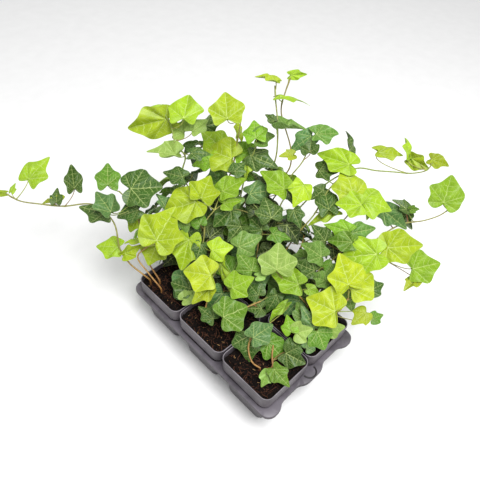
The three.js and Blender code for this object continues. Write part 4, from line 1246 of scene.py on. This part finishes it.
def smooth_outline(leaf):
    """Points round a blade in its own frame, each with its direction on the disc."""
    kind = "small" if leaf["length"] < SMALL_LEAF else "middle"
    if leaf["length"] >= LARGE_LEAF:
        kind = "full"
    lobes = LOBES[kind]
    size = Vector((leaf["length"], leaf["width"], leaf["length"]))
    if leaf["tone"] in BRIGHT:
        size *= BRIGHT_SIZE
    right = [Vector(p) * size for p in HALF_OUTLINES[kind]]
    filled = FULLNESS[0] + (FULLNESS[1] - FULLNESS[0]) * draw(*leaf["seed"], 9)
    for a, b in zip(lobes[:2], lobes[1:3]):
        if b - a == 2:
            middle = (right[a] + right[b]) / 2
            right[a + 1] = right[a + 1].lerp(Vector((middle.x, middle.y, right[a + 1].z)), filled)
    left = [Vector((p.x, -p.y, p.z)) for p in right[-2:0:-1]]
    corners = right + left
    count = len(corners)
    for k in range(1, count):
        if k != lobes[-1]:
            uneven = [2 * draw(*leaf["seed"], 20 + 2 * k + n) - 1 for n in (0, 1)]
            corners[k] += Vector((*uneven, 0)) * (UNEVEN * leaf["length"])
    handles = [HOLLOW_ROUNDNESS] * count
    age = YOUNG_ROUNDNESS if leaf["tone"] in YOUNG else OLD_ROUNDNESS
    for lobe, roundness in zip(lobes, ROUNDNESS):
        handles[lobe] = handles[-lobe] = roundness * age
    slopes = [
        (corners[(k + 1) % count] - corners[k - 1]) * 0.5 * handles[k] for k in range(count)
    ]
    line = []
    for k in range(count):
        a, b = corners[k], corners[(k + 1) % count]
        span = interpolate_bezier(
            a, a + slopes[k] / 3, b - slopes[(k + 1) % count] / 3, b, SPAN_POINTS + 1
        )
        line += span[:-1]
    bounds = [math.atan2(right[k].y, right[k].x) for k in lobes[:-1]] + [math.pi]
    placed = []
    for point in line:
        angle = math.atan2(abs(point.y), point.x)
        wedge = max(k for k in range(3) if angle >= bounds[k] - ON_BOUND)
        share = (angle - bounds[wedge]) / (bounds[wedge + 1] - bounds[wedge])
        turn = math.radians(VEIN_TURN) * (wedge + share) * (1 if point.y >= 0 else -1)
        placed.append((point, Vector((math.cos(turn), math.sin(turn), 0))))
    return placed


print("a large leaf has", len(smooth_outline(leaves[1])), "points round it")

# %% [markdown]
# A blade begins as that line of edges. Extruded inwards ring by ring towards the stalk's end,
# where the last ring is merged to a point, it becomes a sheet whose rows run along the veins.
# Each vertex then swells up between two main veins and stays low along them, and the whole
# blade folds, curls and waves a little. Solidify gives all blades of a vine their thickness at
# once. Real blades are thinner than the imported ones, and so are these.

# %% One leaf blade
RING_SHARES = (0.9, 0.77, 0.63, 0.48, 0.33, 0.19, 0.08)
SWELL = 0.075                    # of the tissue between veins, in parts of the leaf's length
WAVE = 0.03
FOLD = 0.6                       # how far the two halves may rise along the middle vein
TIP_CURL = 0.2                   # how far the tip bends down
LOBE_DROOP = 0.14                # how far the side lobes bend down
WAVE_COUNT = 2.2                 # waves along a blade
WAVE_SHIFT = 0.37                # keeps the waves of one leaf apart from those of the next
TONE_SPREAD = (0.1, 0.08)        # how far red and green stray from a leaf's own green
BLADE = 0.42                     # thickness of a blade
BLADE_DROP = 0.2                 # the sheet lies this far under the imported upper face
# g and b mix a painted waxy sheen into a mature leaf's green; i is painted shade
GREENS = {
    "y": "#a8c000", "l": "#98b404", "s": "#7ba60c", "m": "#527f0e", "p": "#8aac4e",
    "g": "#5a8430", "b": "#4e7a42", "d": "#2f5510", "o": "#93a806", "i": "#183208",
}


def add_blade(bm, leaf):
    """Adds the upper sheet of one leaf to bm."""
    x, y, z = leaf["seed"]

    def chance(number):
        return 2 * draw(x, y, z, number) - 1

    place_layer = bm.verts.layers.float_vector["leaf_place"]
    tone_layer = bm.verts.layers.float_color["leaf_tone"]
    green = Vector(linear(GREENS[leaf["tone"]])[:3])
    green.x *= 1 + TONE_SPREAD[0] * chance(3)
    green.y *= 1 + TONE_SPREAD[1] * chance(4)
    ring = []
    for point, direction in smooth_outline(leaf):
        vert = bm.verts.new(point)
        vert[place_layer] = direction
        vert[tone_layer] = (*green, 1)
        ring.append(vert)
    edges = [bm.edges.new((ring[k - 1], ring[k])) for k in range(len(ring))]
    sheet = list(ring)
    faces = []
    share_now = 1.0
    for share in RING_SHARES:
        made = bmesh.ops.extrude_edge_only(bm, edges=edges)["geom"]
        edges = parts(made, bmesh.types.BMEdge)
        ring = parts(made, bmesh.types.BMVert)
        faces += parts(made, bmesh.types.BMFace)
        for vert in ring:
            vert.co *= share / share_now
            vert[place_layer] *= share / share_now
        sheet += ring
        share_now = share
    centre = bmesh.ops.contextual_create(bm, geom=edges)["faces"]
    hub = bmesh.ops.poke(bm, faces=centre)
    sheet += hub["verts"]
    faces += hub["faces"]
    for vert in hub["verts"]:
        vert.co = (0, 0, 0)
        vert[place_layer] = (0, 0, 0)
        vert[tone_layer] = (*green, 1)

    length = leaf["length"]
    shift = Vector((x, y, z)) * WAVE_SHIFT
    for vert in sheet:
        disc = vert[place_layer]
        far = disc.length
        turn = abs(math.degrees(math.atan2(disc.y, disc.x))) / VEIN_TURN
        between = math.sin(math.pi * (turn % 1)) ** 0.8
        swell = SWELL * between * far ** 0.9 * (1.25 - 0.75 * far)
        wave = WAVE * far * noise.noise(shift + vert.co * (WAVE_COUNT / length))
        fold = FOLD * (0.3 + 0.7 * chance(5)) * abs(disc.y) * far * 0.5
        curl = -TIP_CURL * (0.4 + 0.6 * chance(6)) * max(0, disc.x) ** 3
        droop = -LOBE_DROOP * (0.5 + 0.5 * chance(7)) * abs(disc.y) ** 3
        vert.co.z += length * (swell + wave * 2 + fold + curl + droop) - BLADE_DROP
    if faces[0].normal.length < 0.5:
        faces[0].normal_update()
    if faces[0].normal.z < 0:
        bmesh.ops.reverse_faces(bm, faces=faces)
    frame_here = Matrix((leaf["axis"], leaf["side"], leaf["normal"])).transposed().to_4x4()
    frame_here.translation = leaf["base"]
    bmesh.ops.transform(bm, matrix=frame_here, verts=sheet)
    return faces


print("greens:", ", ".join(GREENS.values()))

# %% [markdown]
# The stalks decide how a plant hangs together. Each joins its stem a little below its leaf,
# where the way is short, and leaves the blade from beneath in one gentle arc. The stem swells
# slightly where a stalk leaves it. Both are the tube from before, thinner than in the packed
# solids, with a colour on each ring: brown where the stem is old and low, green higher up, and
# now and then a flush of red.

# %% Stems and stalks
STEM_BASE_RADIUS = 1.35
STEM_TIP_RADIUS = 0.95
STALK_RADIUS = 0.62
SHORT_STALK = 14
STALK_RISE = 8
STALK_STEPS = 9
STALK_LIFT = 1.5                 # cost of a joint that is too high, against the way to it
STALK_CROWD = 2                  # and of one that is too near
NODE_SWELL = 0.35
NODE_LENGTH = 2.6
FAR_AWAY = 99
WOODY = (50, 60)                 # height at which the bark turns green, and its spread
STEM_SIDES = 8
STALK_SIDES = 6
UNEVEN_BARK = 0.16
BARK = {
    "brown": Vector(linear("#9a6a38")[:3]), "tan": Vector(linear("#c0924e")[:3]),
    "green": Vector(linear("#8fa64a")[:3]), "red": Vector(linear("#8d5440")[:3]),
    "young": Vector(linear("#b9c65a")[:3]),
}


def joint_of(leaf, chords, line):
    """The place on the stem where a leaf's stalk joins it."""
    best, best_cost = 0, math.inf
    for k, point in enumerate(chords):
        distance = (point - leaf["base"]).length
        above = max(0, point.z - leaf["base"].z + STALK_RISE)
        crowded = max(0, SHORT_STALK - distance)
        cost = distance + STALK_LIFT * above + STALK_CROWD * crowded
        if cost < best_cost:
            best, best_cost = k, cost
    return line[best]


def paint(bm, verts, colour_at):
    """Sets the tone of tube verts by their height."""
    layer = bm.verts.layers.float_color["leaf_tone"]
    for vert in verts:
        vert[layer] = (*colour_at(vert.co), 1)


def add_stem(bm, vine, joints, points):
    """Adds a vine's stem."""
    x, y = vine[0]
    fine, length = spaced(points, max(8, round(points_length(points) / FINE_STEP)))
    line = [Vector((x, y, SOIL_TOP - ROOT_DEPTH)), Vector((x, y, SOIL_TOP - 8))] + fine
    radii = []
    for k, point in enumerate(line):
        radius = STEM_BASE_RADIUS + (STEM_TIP_RADIUS - STEM_BASE_RADIUS) * k / (len(line) - 1)
        near = min(((point - joint).length for joint in joints), default=FAR_AWAY)
        radii.append(radius * (1 + NODE_SWELL * math.exp(-(near / NODE_LENGTH) ** 2)))
    woody = ranged(WOODY, draw(x, y, 0, 3))
    flush = draw(x, y, 0, 4)

    def bark_at(spot):
        rise = max(0, min(1, (spot.z - SOIL_TOP) / woody))
        old = BARK["brown"].lerp(BARK["tan"], min(1, 2 * rise))
        new = BARK["green"].lerp(BARK["red"], 0.55 * flush)
        return old.lerp(new, rise ** 1.5)

    verts = tube(bm, line, radii, STEM_SIDES)
    for vert in verts:
        rough = noise.noise(vert.co * 0.35)
        vert.co += UNEVEN_BARK * rough * Vector((1, -1, 0.5))
    paint(bm, verts, bark_at)


def add_stalk(bm, leaf, joint):
    """Adds the stalk of a leaf, from its blade to the stem."""
    x, y, z = leaf["seed"]
    start = leaf["base"] - leaf["normal"] * (BLADE_DROP + BLADE / 2)
    span = (joint - start).length
    leave = (-0.8 * leaf["normal"] - 0.6 * leaf["axis"]).normalized()
    elbow = start + leave * (0.4 * span)
    line = interpolate_bezier(start, start + (elbow - start) * 0.667,
                              joint + (elbow - joint) * 0.667, joint, STALK_STEPS + 1)
    size = 0.8 + 0.3 * min(1, leaf["length"] / LARGE_LEAF)
    radii = []
    for k in range(len(line)):
        share = k / (len(line) - 1)
        flare = 0.35 * math.exp(-(share / 0.08) ** 2) + 0.5 * math.exp(-((1 - share) / 0.1) ** 2)
        radii.append(STALK_RADIUS * size * (1 + flare))
    flush = draw(x, y, z, 7) ** 1.5
    colour = BARK["green"].lerp(BARK["red"], flush)
    if leaf["tone"] in YOUNG:
        colour = colour.lerp(BARK["young"], 0.6)
    verts = tube(bm, line, radii, STALK_SIDES)
    paint(bm, verts, lambda spot: colour)


def points_length(points):
    """Length of the smooth line through points."""
    return spaced(points, 4)[1]


print("stem colours:", ", ".join(BARK))

# %% [markdown]
# Old leaves fill the inside of the plant. No imported solid holds them. They stand along the
# stems between the leaves above, are mostly dark, and close the gaps that would otherwise let
# the ground show through. Their darkest green, i, is painted shade. They follow a rule: one
# candidate for each centimetre or so of stem, turned round the stem from one to the next, inside
# a box round the middle of the plant. It is kept only where it meets no other leaf and covers
# none of the leaves above, as seen along the way that most of the plant faces. That way is a
# fixed direction close to the camera's, so the rule keeps the leaves above in view from the
# front. The other sides have no such care.

# %% Leaves inside the plant
INNER_STEP = 10
INNER_FROM = 14
INNER_TURN = 137.5               # degrees round the stem from one joint to the next
INNER_REACHES = (10, 14)
INNER_SIZES = (26, 21)
INNER_RISES = (4, 10)
INNER_WIDTHS = (0.95, 0.25)      # in parts of the length
INNER_HEADINGS = 60              # how much chance may change a heading, a roll and a nod
INNER_ROLLS = 26
INNER_NODS = 20
# i, the darkest green, is painted shade for leaves deep inside the plant
INNER_TONES = "dmigib"
INNER_GAP = 2.5
INNER_TILT_ROOM = 0.5
INNER_BOX = ((-45, 130), (-122, 140), (-math.inf, 250))    # limits of x, y and z
COVER = 0.5                      # a leaf covers another within this share of their reach


def is_clear(new, others):
    """True where a leaf meets none of the others and covers none of the outer ones."""
    middle, radius = middle_of(new), radius_of(new)
    for number, other in enumerate(others):
        between = middle_of(other) - middle
        reach = radius + radius_of(other)
        ahead = between.dot(plant_facing)
        aside = (between - plant_facing * ahead).length
        if number < outer_count and ahead < 0 and aside < COVER * reach:
            return False
        if between.length > reach:
            continue
        _, height, apart, tilt = meeting(new, other, between)
        overlap = min(1, (reach - apart) / radius)
        if abs(height) < overlap * (INNER_GAP + INNER_TILT_ROOM * tilt * radius):
            return False
    return True


plant_facing = facing(SEEN)
outer_count = len(leaves)
for number, vine in enumerate(VINES):
    (x, y), face = vine[:2]
    points = stem_points(vine)
    count = max(1, int((spaced(points, 4)[1] - INNER_FROM) / INNER_STEP))
    for k, at in enumerate(spaced(points, count)[0][1:]):
        chance = [luck.random() for _ in range(8)]
        inside = all(low < value < high for value, (low, high) in zip(at, INNER_BOX))
        heading = face[0] + 180 + INNER_TURN * k
        reach = ranged(INNER_REACHES, chance[0])
        size = ranged(INNER_SIZES, chance[1])
        turned = math.radians(heading)
        row = (
            at.x + reach * math.cos(turned), at.y + reach * math.sin(turned),
            at.z + ranged(INNER_RISES, chance[2]), size, size * ranged(INNER_WIDTHS, chance[3]),
            heading + INNER_HEADINGS * (chance[4] - 0.5), INNER_ROLLS * (chance[5] - 0.5),
            INNER_NODS * chance[6],
        )
        tone = INNER_TONES[int(len(INNER_TONES) * chance[7])]
        new = leaf_frame(number, face, row, tone)
        if inside and is_clear(new, leaves):
            leaves.append(new)
print(len(leaves) - outer_count, "leaves inside the plant")

# %% [markdown]
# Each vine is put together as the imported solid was: the stem's curve is cut into the same
# steps, which fixes where the stalks join, and then blades, stem and stalks are added to one
# bmesh. The faces that look down get the matt underside.

# %% Growing the vines
total = 0
for number, vine in enumerate(VINES):
    points = stem_points(vine)
    steps = max(4, nearest(points_length(points) / STEM_STEP))
    rings, _ = spaced(points, steps)
    chords = [a.lerp(b, t) for a, b in zip(rings, rings[1:]) for t in (0.25, 0.5, 0.75, 1)]
    line = spaced(points, 4 * steps)[0][1:]
    own = [leaf for leaf in leaves if leaf["vine"] == number]
    joints = [joint_of(leaf, chords, line) for leaf in own]

    bm = bmesh.new()
    bm.verts.layers.float_vector.new("leaf_place")
    bm.verts.layers.float_color.new("leaf_tone")
    sheet = []
    for leaf in own:
        sheet += add_blade(bm, leaf)
    upper = len(bm.faces)
    bm.normal_update()
    bmesh.ops.solidify(bm, geom=sheet, thickness=BLADE)
    for index, face in enumerate(bm.faces):
        face.material_index = 0 if index < upper else 1
    blades = len(bm.faces)
    add_stem(bm, vine, joints, points)
    for leaf, joint in zip(own, joints):
        add_stalk(bm, leaf, joint)
    for index, face in enumerate(bm.faces):
        if index >= blades:
            face.material_index = 2
    name = f"vine_{number + 1:02d}"
    total += hand_over(
        bm, name + "_leaves", [name], [waxy_leaf, matt_leaf, stem_bark], 50
    )
print("vines:", total, "triangles")
